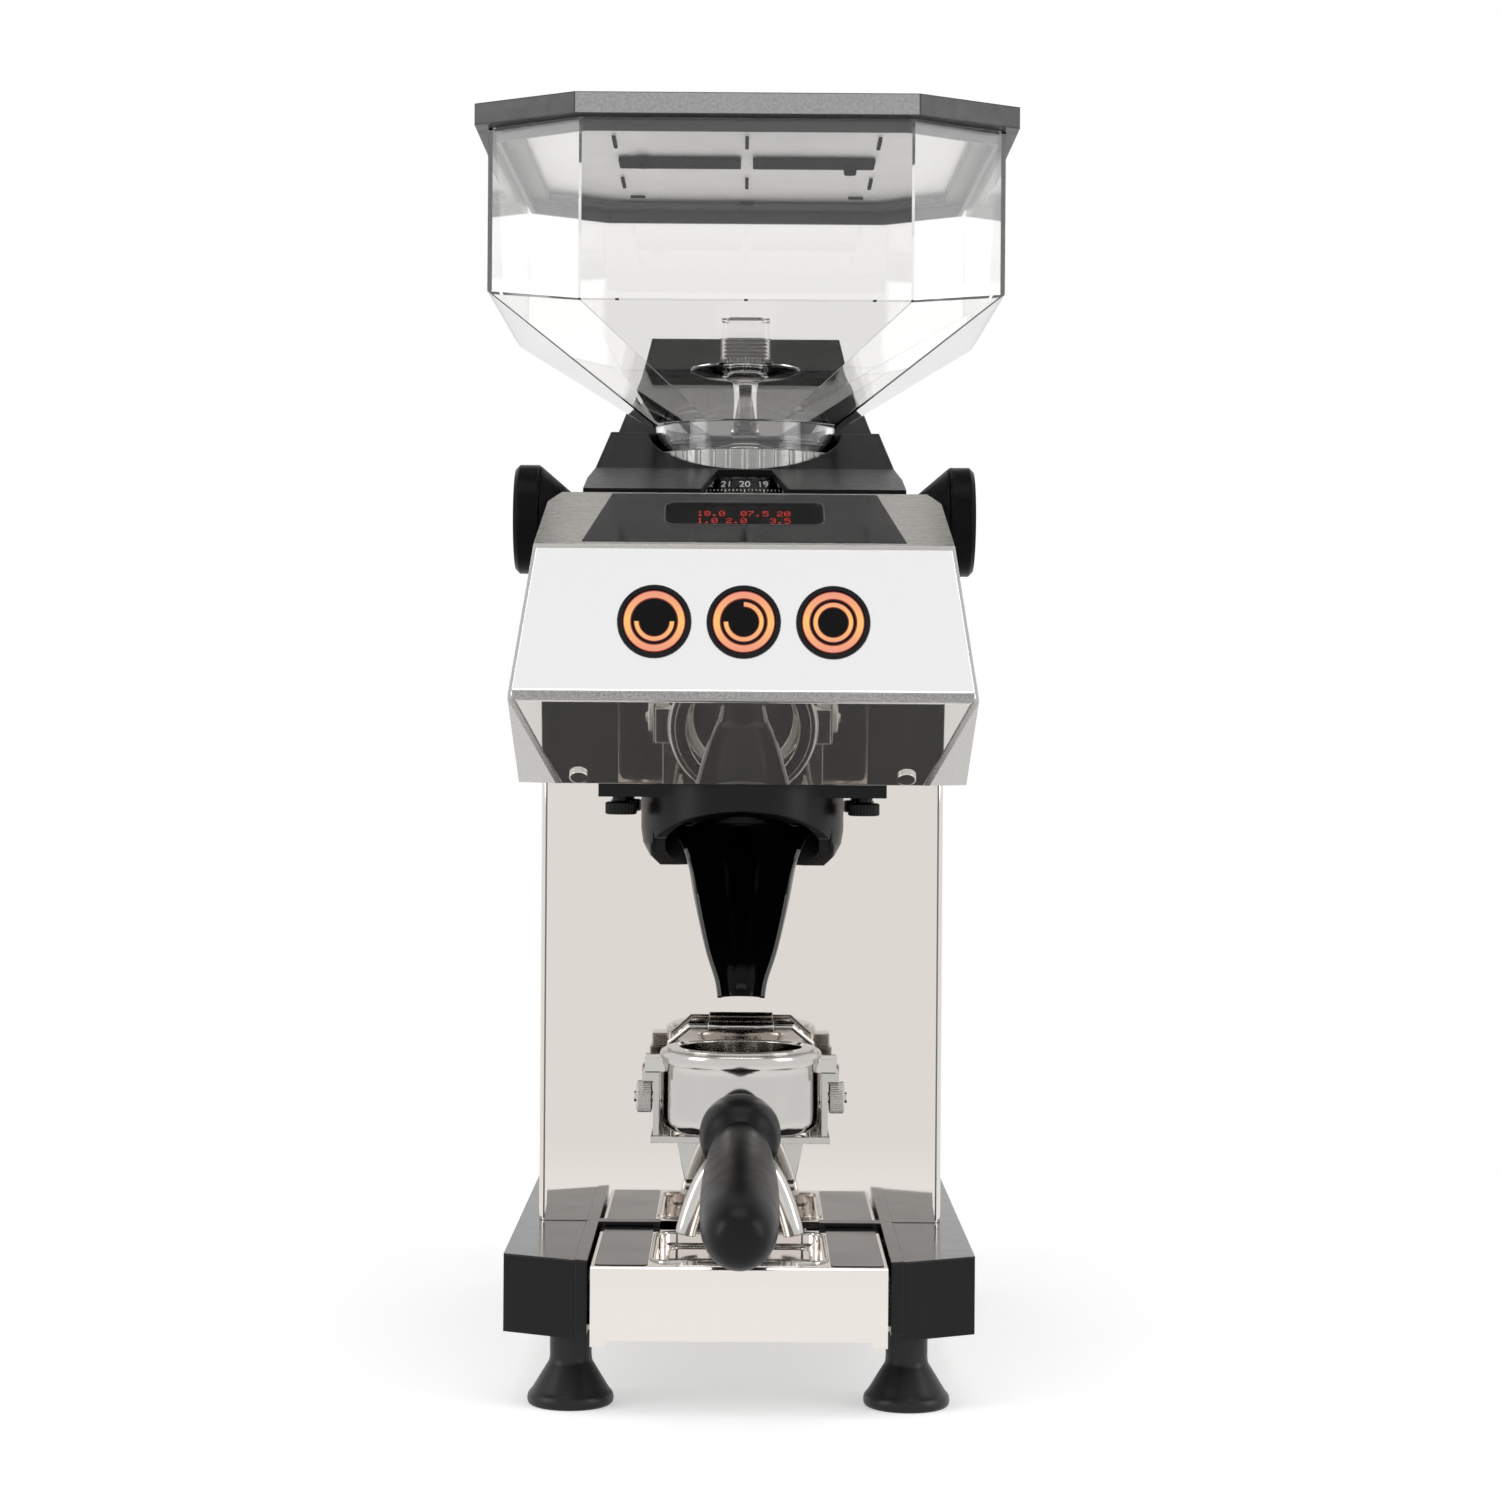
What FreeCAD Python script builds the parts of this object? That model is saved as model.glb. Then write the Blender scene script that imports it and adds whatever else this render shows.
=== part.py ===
import FreeCAD, Part
import math
import os

import Sketcher

# Burr coffee grinder with a docked portafilter. Units are millimetres.
# X is to the right, Y to the back, Z up; the origin is under the middle of the whole.

DIMENSIONS = [
    ("foot_height", 34.0),
    ("foot_radius", 19.5),
    ("foot_neck_radius", 10.5),
    ("foot_across", 76.0),
    ("foot_front", 85.0),
    ("base_height", 35.0),
    ("base_half", 106.0),
    ("base_front", 115.0),
    ("corner_front", 95.0),
    ("rail_inner", 67.5),
    ("rail_width", 5.5),
    ("plastic", 3.0),
    ("sheet", 1.5),
    ("tray_half", 66.0),
    ("dish_half", 39.0),
    ("dish_front", 105.0),
    ("dish_back", 22.0),
    ("dish_depth", 6.0),
    ("body_depth", 222.0),
    ("column_half", 96.5),
    ("column_height", 211.0),
    ("column_radius", 4.0),
    ("cheek_overhang", 8.0),
    ("cheek_height", 40.0),
    ("under_rise", 38.0),
    ("under_back", 65.0),
    ("lip_front", 115.0),
    ("lip_height", 4.7),
    ("panel_height", 64.8),
    ("panel_setback", 9.0),
    ("panel_top_half", 94.0),
    ("slope_rise", 26.5),
    ("slope_depth", 44.0),
    ("shoulder_half", 90.0),
    ("top_half", 84.0),
    ("facet_half", 86.0),
    ("facet_back", 40.0),
    ("overlay_front_half", 72.6),
    ("overlay_back_half", 60.7),
    ("window_half", 35.5),
    ("button_spacing", 39.8),
    ("button_rise", 30.3),
    ("bezel_radius", 16.4),
    ("button_radius", 14.0),
    ("axis_back", 67.0),
    ("cover_half", 74.5),
    ("cover_top_half", 51.0),
    ("cover_hole", 48.0),
    ("cradle_height", 106.0),
    ("collar_radius", 46.0),
    ("gear_radius", 78.6),
    ("gear_teeth", 60.0),
    ("worm_radius", 8.0),
    ("worm_front", 20.0),
    ("worm_drop", 10.0),
    ("knob_radius", 25.75),
    ("knob_outer", 108.0),
    ("knob_width", 11.8),
    ("shaft_radius", 4.0),
    ("hopper_half", 121.0),
    ("hopper_half_depth", 136.0),
    ("hopper_front_half", 77.0),
    ("hopper_chamfer", 30.0),
    ("hopper_wall", 3.0),
    ("hopper_wall_height", 83.0),
    ("throat_radius", 45.0),
    ("throat_height", 14.0),
    ("funnel_height", 46.0),
    ("lid_overhang", 6.0),
    ("lid_height", 10.0),
    ("motor_radius", 58.0),
    ("rotor_radius", 32.4),
    ("burr_radius", 32.0),
    ("chamber_radius", 52.0),
    ("drive_radius", 6.0),
    ("mount_front", 32.0),
    ("drum_front", 15.0),
    ("mount_radius", 48.0),
    ("mount_drop", 42.0),
    ("screw_across", 57.0),
    ("dock_front", 60.0),
    ("rim_radius", 37.1),
    ("fork_level", 116.0),
    ("arm_inner", 37.0),
    ("handle_reach", 232.0),
    ("handle_pitch", 13.5),
    ("handle_level", 19.5),
    ("handle_end_radius", 11.0),
    ("gland_reach", 8.0),
]

SIDES = [(-1, "left"), (1, "right")]
GAP = 0.4

doc = FreeCAD.newDocument("Grinder")
sheet_of_sizes = doc.addObject("Spreadsheet::Sheet", "Dims")


class Size:
    """A number together with the sheet expression that gives it."""

    def __init__(self, value, text):
        self.value = float(value)
        self.text = text

    def __add__(self, other):
        return Size(self.value + num(other), "(%s + %s)" % (self.text, words(other)))

    def __radd__(self, other):
        return sized(other) + self

    def __sub__(self, other):
        return Size(self.value - num(other), "(%s - %s)" % (self.text, words(other)))

    def __rsub__(self, other):
        return sized(other) - self

    def __mul__(self, other):
        return Size(self.value * num(other), "(%s * %s)" % (self.text, words(other)))

    def __rmul__(self, other):
        return self * other

    def __truediv__(self, other):
        return Size(self.value / num(other), "(%s / %s)" % (self.text, words(other)))

    def __neg__(self):
        return self * -1


class Named:
    """Holds the driving dimensions as attributes."""


def num(size):
    return size.value if isinstance(size, Size) else float(size)


def words(size):
    return size.text if isinstance(size, Size) else "(%r)" % float(size)


def sized(size):
    return size if isinstance(size, Size) else Size(size, words(size))


def read_dimensions():
    """Fill the sheet and give each driving dimension by its alias."""
    held = Named()
    for row, (alias, value) in enumerate(DIMENSIONS, start=1):
        sheet_of_sizes.set("A%d" % row, alias)
        sheet_of_sizes.set("B%d" % row, str(value))
        sheet_of_sizes.setAlias("B%d" % row, alias)
        setattr(held, alias, Size(value, "Dims.%s" % alias))
    return held


D = read_dimensions()
doc.recompute()

PANEL_Y = (D.handle_reach - D.body_depth - D.gland_reach) / 2
REAR_Y = PANEL_Y + D.body_depth
AXIS_Y = PANEL_Y + D.axis_back
HEAD_HALF = D.column_half + D.cheek_overhang
BASE_Z0 = D.foot_height
BASE_Z1 = BASE_Z0 + D.base_height
HEAD_Z0 = BASE_Z1 + D.column_height
LIP_Z = HEAD_Z0 + D.under_rise
PANEL_Z0 = LIP_Z + D.lip_height
PANEL_Z1 = PANEL_Z0 + D.panel_height
HEAD_Z1 = PANEL_Z1 + D.slope_rise
PLATE_Z = BASE_Z0 + 2.5
WORM_Z = HEAD_Z1 - D.worm_drop
GEAR_Z = WORM_Z - 4
CHAMBER_Z = GEAR_Z - 57
COLLAR_Z1 = HEAD_Z1 + 28
THROAT_Z = COLLAR_Z1 + GAP
FUNNEL_Z = THROAT_Z + D.throat_height
WALL_Z = FUNNEL_Z + D.funnel_height
HOPPER_Z1 = WALL_Z + D.hopper_wall_height
LUG_Z = D.fork_level + 32


def front(distance):
    """Y of the plane that lies this far in front of the splash panel."""
    return PANEL_Y - distance


def bind(item, prop, size):
    item.setExpression(prop, sized(size).text)


def place(item, x, y, z):
    bind(item, "Placement.Base.x", x)
    bind(item, "Placement.Base.y", y)
    bind(item, "Placement.Base.z", z)


def box(x_range, y_range, z_range):
    item = doc.addObject("Part::Box", "Block")
    bind(item, "Length", sized(x_range[1]) - x_range[0])
    bind(item, "Width", sized(y_range[1]) - y_range[0])
    bind(item, "Height", sized(z_range[1]) - z_range[0])
    place(item, x_range[0], y_range[0], z_range[0])
    return item


def both(half):
    return (-sized(half), sized(half))


def beside(side, inner, outer):
    """X range from inner to outer on one side."""
    if side > 0:
        return (sized(inner), sized(outer))
    return (-sized(outer), -sized(inner))


TURNS = {
    "x": FreeCAD.Rotation(FreeCAD.Vector(0, 1, 0), 90),
    "y": FreeCAD.Rotation(FreeCAD.Vector(1, 0, 0), -90),
    "z": FreeCAD.Rotation(),
}


def along(item, axis, at, low):
    """Stand an item whose own axis is Z along an axis; `at` gives the other two places."""
    item.Placement = FreeCAD.Placement(FreeCAD.Vector(), TURNS[axis])
    spots = {"x": (low, at[0], at[1]), "y": (at[0], low, at[1]), "z": (at[0], at[1], low)}
    place(item, *spots[axis])
    return item


def rod(axis, at, radius, low, high):
    item = doc.addObject("Part::Cylinder", "Rod")
    bind(item, "Radius", radius)
    bind(item, "Height", sized(high) - low)
    return along(item, axis, at, low)


def cone(axis, at, low_radius, high_radius, low, high):
    item = doc.addObject("Part::Cone", "Cone")
    bind(item, "Radius1", low_radius)
    bind(item, "Radius2", high_radius)
    bind(item, "Height", sized(high) - low)
    return along(item, axis, at, low)


def outline(body, plane, points):
    """Closed sketch on one of the body's planes, each corner held by two bound distances."""
    roles = {"xy": "XY_Plane", "xz": "XZ_Plane", "yz": "YZ_Plane"}
    base = [held for held in body.Origin.OriginFeatures if held.Role == roles[plane]][0]
    sketch = body.newObject("Sketcher::SketchObject", "Outline")
    sketch.AttachmentSupport = [(base, "")]
    sketch.MapMode = "FlatFace"
    spots = [FreeCAD.Vector(num(a), num(b), 0) for a, b in points]
    count = len(spots)
    for index in range(count):
        sketch.addGeometry(Part.LineSegment(spots[index], spots[(index + 1) % count]))
    for index in range(count):
        sketch.addConstraint(Sketcher.Constraint("Coincident", index, 2, (index + 1) % count, 1))
    for index in range(count):
        for kind, size in zip(("DistanceX", "DistanceY"), points[index]):
            held = sketch.addConstraint(Sketcher.Constraint(kind, -1, 1, index, 1, num(size)))
            if isinstance(size, Size):
                sketch.setExpression("Constraints[%d]" % held, size.text)
    return sketch


def prism(plane, points, low, high, taper=0):
    """Outline on a plane, padded between two levels along the plane's normal."""
    body = doc.addObject("PartDesign::Body", "Prism")
    sketch = outline(body, plane, points)
    start = -sized(high) if plane == "xz" else sized(low)
    bind(sketch, "AttachmentOffset.Base.z", start)
    pad = body.newObject("PartDesign::Pad", "Pad")
    pad.Profile = sketch
    bind(pad, "Length", sized(high) - low)
    pad.TaperAngle = taper
    return body


def turned(points, axis, at, low=0):
    """Profile of (radius, height) corners turned about an axis."""
    body = doc.addObject("PartDesign::Body", "Turned")
    sketch = outline(body, "xz", points)
    lathe = body.newObject("PartDesign::Revolution", "Lathe")
    lathe.Profile = sketch
    lathe.ReferenceAxis = (sketch, ["V_Axis"])
    lathe.Angle = 360
    return along(body, axis, at, low)


def rounded(body, radius, chooser):
    """Round the edges of a body that the chooser picks."""
    doc.recompute()
    tip = body.Tip
    names = ["Edge%d" % (i + 1) for i, edge in enumerate(tip.Shape.Edges) if chooser(edge)]
    fillet = body.newObject("PartDesign::Fillet", "Round")
    fillet.Base = (tip, names)
    bind(fillet, "Radius", radius)
    return body


def upright(edge):
    return edge.BoundBox.ZLength > 0.9 * edge.Length


def fuse(*items):
    item = doc.addObject("Part::MultiFuse", "Fuse")
    item.Shapes = list(items)
    return item


def cut(base, *tools):
    item = doc.addObject("Part::Cut", "Cut")
    item.Base = base
    item.Tool = tools[0] if len(tools) == 1 else fuse(*tools)
    return item


def common(first, second):
    item = doc.addObject("Part::Common", "Common")
    item.Base = first
    item.Tool = second
    return item


def group(*items):
    item = doc.addObject("Part::Compound", "Group")
    item.Links = list(items)
    return item


def made(shape):
    item = doc.addObject("Part::Feature", "Made")
    item.Shape = shape
    return item


NODES = {}


def node(name, item):
    item.Label = name
    NODES[name] = item
    return item


def chamfer_front(across):
    """How far in front the cut front corner of the base lies at this X."""
    slope = (D.base_front - D.corner_front) / (D.base_half - D.rail_inner)
    return D.base_front - (sized(across) - D.rail_inner) * slope


def build_base():
    rail_outer = D.rail_inner + D.rail_width
    wall = D.plastic
    plate_half = D.base_half - wall
    plate_y = (front(D.corner_front - 5), REAR_Y - wall)
    floor = box(both(plate_half), plate_y, (BASE_Z0, PLATE_Z))
    back = box(both(rail_outer), (REAR_Y - wall, REAR_Y), (BASE_Z0, BASE_Z1))
    node("base_plate", fuse(floor, back))
    for side, name in SIDES:
        outer = prism("xy", [
            (side * rail_outer, front(chamfer_front(rail_outer))),
            (side * D.base_half, front(D.corner_front)),
            (side * D.base_half, REAR_Y),
            (side * rail_outer, REAR_Y),
        ], BASE_Z0, BASE_Z1)
        hollow = prism("xy", [
            (side * (rail_outer - 1), front(chamfer_front(rail_outer) - wall)),
            (side * plate_half, front(chamfer_front(plate_half) - wall)),
            (side * plate_half, REAR_Y - wall),
            (side * (rail_outer - 1), REAR_Y - wall),
        ], BASE_Z0 - 1, BASE_Z1 - wall)
        node(name + "_base_moulding", cut(outer, hollow))
        strip = prism("xy", [
            (side * D.rail_inner, front(D.base_front)),
            (side * rail_outer, front(chamfer_front(rail_outer))),
            (side * rail_outer, PANEL_Y),
            (side * D.rail_inner, PANEL_Y),
        ], PLATE_Z, BASE_Z1 + 0.4)
        ledge = box(beside(side, 58, D.rail_inner), (front(108), front(2)), (BASE_Z1 - 11, BASE_Z1 - 9))
        bar = box(beside(side, 38, D.rail_inner), (front(5), PANEL_Y), (BASE_Z1 - 7, BASE_Z1 + 0.4))
        node(name + "_rail", fuse(strip, ledge, bar))


def build_feet():
    profile = [
        (0, 0),
        (D.foot_radius - 1.5, 0),
        (D.foot_radius, 1.5),
        (D.foot_radius, 4),
        (D.foot_neck_radius, 14),
        (D.foot_neck_radius, D.foot_height),
        (0, D.foot_height),
    ]
    feet = []
    for side, _ in SIDES:
        for y in (front(D.foot_front), REAR_Y - 32):
            feet.append(turned(profile, "z", (side * D.foot_across, y)))
    node("rubber_feet", group(*feet))


def build_tray():
    top = BASE_Z1 - 2
    skin = D.sheet
    face_y = front(D.base_front + 2.2)
    fold = prism("yz", [
        (face_y, BASE_Z0),
        (face_y, top - 1),
        (face_y + 1, top),
        (front(6), top),
        (front(6), top - skin),
        (face_y + skin, top - skin),
        (face_y + skin, BASE_Z0),
    ], -D.tray_half, D.tray_half)
    tabs = [
        box(beside(side, D.tray_half - 7, D.tray_half), (face_y, face_y + skin), (BASE_Z0 - 2.5, BASE_Z0))
        for side, _ in SIDES
    ]
    runners = [
        box(beside(side, 60, 61.5), (front(106), front(8)), (BASE_Z1 - 9 + 0.3, top - skin))
        for side, _ in SIDES
    ]
    pull = box(both(26), (face_y + 1, front(D.dish_front + 1)), (top, top + 0.8))
    corners = [(-1, D.dish_front), (1, D.dish_front), (1, D.dish_back), (-1, D.dish_back)]
    rim = [(side * D.dish_half, front(d)) for side, d in corners]
    pan = prism("xy", rim, top - D.dish_depth - skin, top - 0.5)
    inset = D.dish_half - skin
    dents = [(-1, D.dish_front - skin), (1, D.dish_front - skin), (1, D.dish_back + skin),
             (-1, D.dish_back + skin)]
    hollow = prism("xy", [(side * inset, front(d)) for side, d in dents], top - D.dish_depth, top + 1)
    rounded(pan, 10, upright)
    rounded(hollow, 8.5, upright)
    node("tray", cut(fuse(fold, pan, pull, *tabs, *runners), hollow))


def build_column():
    skin = D.sheet
    inner_half = D.column_half - skin
    levels = (BASE_Z1, HEAD_Z0)
    turn_y = PANEL_Y + 20
    half = D.column_half
    wrap = prism("xy", [(-half, PANEL_Y), (half, PANEL_Y), (half, turn_y), (-half, turn_y)], *levels)
    hollow = prism("xy", [
        (-inner_half, PANEL_Y + skin),
        (inner_half, PANEL_Y + skin),
        (inner_half, turn_y + 5),
        (-inner_half, turn_y + 5),
    ], BASE_Z1 - 1, HEAD_Z0 + 1)

    def front_corner(edge):
        return upright(edge) and edge.BoundBox.YMax < num(PANEL_Y) + 3

    rounded(wrap, D.column_radius, front_corner)
    rounded(hollow, D.column_radius - skin, front_corner)
    node("splash_panel", cut(wrap, hollow))

    shell = box(both(half), (turn_y, REAR_Y), levels)
    inside = box(both(inner_half), (turn_y - 1, REAR_Y - skin), (BASE_Z1 - 1, HEAD_Z0 + 1))
    opening = box(both(66), (REAR_Y - 5, REAR_Y + 1), (135, 262))
    gland_hole = rod("y", (-50, 100), 8, REAR_Y - 5, REAR_Y + 1)
    switch_hole = box((36, 54), (REAR_Y - 5, REAR_Y + 1), (86, 114))
    node("column_shell", cut(shell, inside, opening, gland_hole, switch_hole))

    cover = box(both(72), (REAR_Y, REAR_Y + skin), (129, 268))
    slots = [
        box(both(50), (REAR_Y - 1, REAR_Y + skin + 1), (150 + 11 * k, 155 + 11 * k))
        for k in range(9)
    ]
    node("rear_cover", cut(cover, *slots))

    flange = rod("y", (-50, 100), 11, REAR_Y, REAR_Y + D.gland_reach)
    barrel = rod("y", (-50, 100), 8, REAR_Y - 12, REAR_Y)
    bore = rod("y", (-50, 100), 3.6, REAR_Y - 13, REAR_Y + D.gland_reach + 1)
    node("cable_gland", cut(fuse(flange, barrel), bore))
    rocker = prism("yz", [
        (REAR_Y - 8, 96),
        (REAR_Y - 1, 87),
        (REAR_Y + 2.5, 87.5),
        (REAR_Y + 0.6, 100),
        (REAR_Y + 2.5, 112.5),
        (REAR_Y - 1, 113),
        (REAR_Y - 8, 104),
    ], 36 + GAP, 54 - GAP)
    pivot = rod("x", (REAR_Y, 100), 2, 36 + GAP / 2, 54 - GAP / 2)
    node("mains_rocker", fuse(rocker, pivot))


def head_section(inset, low):
    """Front view of the head, drawn in by an inset."""
    halves = [
        (HEAD_HALF - inset, low),
        (HEAD_HALF - inset, HEAD_Z0 + D.cheek_height),
        (D.panel_top_half - inset, PANEL_Z1),
        (D.shoulder_half - inset, HEAD_Z1 - 5),
        (D.top_half - inset, HEAD_Z1 - inset),
    ]
    right = [(sized(x), sized(z)) for x, z in halves]
    left = [(-x, z) for x, z in reversed(right)]
    return prism("xz", right + left, front(D.lip_front + 30), REAR_Y)


def facet_tool(side, shift):
    """Block that cuts one lower front corner of the head along a slanting plane."""
    lip = FreeCAD.Vector(side * num(HEAD_HALF), num(front(D.lip_front)), num(LIP_Z))
    near = FreeCAD.Vector(side * num(D.facet_half), num(front(D.under_back)), num(HEAD_Z0))
    far = FreeCAD.Vector(side * num(HEAD_HALF), num(front(D.facet_back)), num(HEAD_Z0))
    normal = (near - lip).cross(far - lip)
    normal.normalize()
    if normal.x * side < 0:
        normal = normal * -1
    middle = (lip + near + far) * (1 / 3)
    corners = [middle + (spot - middle) * 3 - normal * shift for spot in (lip, near, far)]
    face = Part.Face(Part.makePolygon(corners + corners[:1]))
    return made(face.extrude(normal * 60))


def slope_at(y):
    """Level of the sloping top face of the head above a place in depth."""
    start = front(D.lip_front - D.panel_setback)
    return PANEL_Z1 + (sized(y) - start) * (D.slope_rise / D.slope_depth)


def slope_slab(upper, lower):
    """Band along the sloping top face between two depths below it."""
    y0 = front(D.lip_front - D.panel_setback) - 4
    y1 = y0 + D.slope_depth + 8
    points = [
        (y0, slope_at(y0) - upper),
        (y1, slope_at(y1) - upper),
        (y1, slope_at(y1) - lower),
        (y0, slope_at(y0) - lower),
    ]
    return prism("yz", points, -110, 110)


def overlay_plan(inset):
    """Plan of the black overlay on the sloping face."""
    y0 = front(D.lip_front - D.panel_setback) + 2.3 + inset
    y1 = front(D.lip_front - D.panel_setback - D.slope_depth) - 1.5 - inset
    wide = D.overlay_front_half - inset
    slim = D.overlay_back_half - inset
    points = [(-wide, y0), (wide, y0), (slim, y1), (-slim, y1)]
    return prism("xy", points, PANEL_Z1 - 10, HEAD_Z1 + 10)


def window_plan(inset):
    y0 = front(D.lip_front - D.panel_setback) + 17 + inset
    y1 = y0 + 18 - inset * 2
    half = D.window_half - inset
    plan = prism("xy", [(-half, y0), (half, y0), (half, y1), (-half, y1)], PANEL_Z1 - 12, HEAD_Z1 + 10)
    return rounded(plan, 4, upright)


def build_housing():
    skin = D.sheet
    top_y = front(D.lip_front - D.panel_setback)
    back_y = top_y + D.slope_depth
    side_view = prism("yz", [
        (front(D.lip_front), LIP_Z),
        (front(D.lip_front), PANEL_Z0),
        (top_y, PANEL_Z1),
        (back_y, HEAD_Z1),
        (REAR_Y, HEAD_Z1),
        (REAR_Y, HEAD_Z0),
        (front(D.under_back), HEAD_Z0),
    ], -110, 110)
    drop = skin * 1.17
    ahead = front(D.lip_front + 25)
    hollow_view = prism("yz", [
        (ahead, HEAD_Z0 - 10),
        (ahead, slope_at(ahead) - drop),
        (back_y, HEAD_Z1 - drop),
        (REAR_Y - skin, HEAD_Z1 - drop),
        (REAR_Y - skin, HEAD_Z0 - 10),
    ], -110, 110)
    facets = [facet_tool(side, 0) for side, _ in SIDES]
    inner_facets = [facet_tool(side, num(skin)) for side, _ in SIDES]
    hull = cut(common(head_section(0, HEAD_Z0), side_view), *facets)
    hollow = cut(common(head_section(skin, HEAD_Z0 - 10), hollow_view), *inner_facets)
    well = rod("z", (0, AXIS_Y), D.gear_radius - 7.6, HEAD_Z1 - 10, HEAD_Z1 + 10)
    bosses = [boss_cone(side) for side, _ in SIDES]
    node("upper_housing", cut(hull, hollow, well, overlay_plan(0), *bosses))


def boss_cone(side):
    """Cone that the knob shaft runs in, wide end outwards."""
    inner = D.knob_outer - 33
    outer = D.knob_outer - D.knob_width - GAP
    at = (front(D.worm_front), WORM_Z)
    if side > 0:
        return cone("x", at, 7, D.knob_radius - 0.8, inner, outer)
    return cone("x", at, D.knob_radius - 0.8, 7, -outer, -inner)


def build_panel():
    skin = 2.0
    top_y = front(D.lip_front - D.panel_setback)
    face_y = front(D.lip_front)
    profile = prism("yz", [
        (face_y, PANEL_Z0),
        (top_y, PANEL_Z1),
        (top_y + skin, PANEL_Z1 - 0.6),
        (face_y + skin, PANEL_Z0),
        (face_y + 3.2, LIP_Z + 0.8),
        (face_y + 1.2, LIP_Z - 0.8),
        (face_y - 0.6, LIP_Z - 0.2),
        (face_y - 1.6, LIP_Z + 1.4),
        (face_y - 1.4, PANEL_Z0 - 1),
    ], -110, 110)
    blank = common(head_section(D.sheet, HEAD_Z0), profile)
    holes = [button_disc(k, D.bezel_radius, -12, 12) for k in (-1, 0, 1)]
    facets = [facet_tool(side, num(D.sheet)) for side, _ in SIDES]
    node("control_panel", cut(blank, slope_slab(-8, D.sheet * 1.17), *facets, *holes))
    bezels = []
    for k in (-1, 0, 1):
        ring = button_disc(k, D.bezel_radius, -3.5, 0.8)
        bezels.append(cut(ring, button_disc(k, D.button_radius + GAP, -5, 3)))
    node("button_bezels", group(*bezels))
    for k, name in ((-1, "left"), (0, "middle"), (1, "right")):
        node(name + "_button", button_disc(k, D.button_radius, -5, 0.4))


def button_disc(place_index, radius, low, high):
    """Disc on the control panel, square to it; levels are outwards from its face."""
    lean = math.degrees(math.atan(num(D.panel_setback) / num(D.panel_height)))
    turn = FreeCAD.Rotation(FreeCAD.Vector(1, 0, 0), 90 - lean)
    inner = turn.multVec(FreeCAD.Vector(0, 0, low))
    item = doc.addObject("Part::Cylinder", "Disc")
    bind(item, "Radius", radius)
    bind(item, "Height", high - low)
    item.Placement = FreeCAD.Placement(FreeCAD.Vector(), turn)
    y = front(D.lip_front) + D.button_rise * (D.panel_setback / D.panel_height)
    place(item, place_index * D.button_spacing, y + inner.y, PANEL_Z0 + D.button_rise + inner.z)
    return item


def build_underside():
    skin = D.sheet
    lip_y = front(D.lip_front) + 1.6
    knee = front(D.under_back)
    profile = prism("yz", [
        (lip_y, LIP_Z - 0.6),
        (knee, HEAD_Z0),
        (REAR_Y - skin, HEAD_Z0),
        (REAR_Y - skin, HEAD_Z0 + skin),
        (knee + 0.5, HEAD_Z0 + skin),
        (lip_y + 2.2, LIP_Z - 0.4),
    ], -110, 110)
    folded = common(head_section(skin, HEAD_Z0 - 1), profile)
    facets = [facet_tool(side, num(skin)) for side, _ in SIDES]
    inside = (PANEL_Y + skin, REAR_Y - skin * 2)
    column = box(both(D.column_half - skin), inside, (HEAD_Z0 - 5, HEAD_Z0 + 5))
    chute = box(both(13), (front(D.mount_front + 12), front(D.mount_front - 12)), (HEAD_Z0 - 5, HEAD_Z0 + 5))
    node("underside_plate", cut(folded, column, chute, *facets))
    screws = []
    for side, _ in SIDES:
        head = doc.addObject("Part::Cylinder", "Head")
        bind(head, "Radius", 4.3)
        bind(head, "Height", 1.6)
        fall = math.degrees(math.atan2(num(D.under_rise), num(D.lip_front - D.under_back)))
        turn = FreeCAD.Rotation(FreeCAD.Vector(1, 0, 0), 180 - fall)
        head.Placement = FreeCAD.Placement(FreeCAD.Vector(), turn)
        slope = D.under_rise / (D.lip_front - D.under_back - 1.6)
        place(head, side * (D.facet_half - 11), knee - 5, HEAD_Z0 + slope * 5)
        screws.append(cut(head, profile))
    node("underside_screws", group(*screws))


def build_display():
    plate = common(slope_slab(-0.3, 2.6), overlay_plan(0))
    node("display_overlay", cut(plate, window_plan(0)))
    lens = common(slope_slab(0.3, 6), window_plan(0))
    board = common(slope_slab(2.6, 9), window_plan(-6))
    node("display_module", fuse(lens, board))


def cover_section(inset):
    halves = [
        (D.cover_half - inset, HEAD_Z1 - inset),
        (D.cover_half - inset, HEAD_Z1 + 10),
        (D.cover_top_half - inset, HEAD_Z1 + D.cradle_height),
    ]
    right = [(sized(x), sized(z)) for x, z in halves]
    left = [(-x, z) for x, z in reversed(right)]
    return prism("xz", right + left, front(D.lip_front), REAR_Y)


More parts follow.
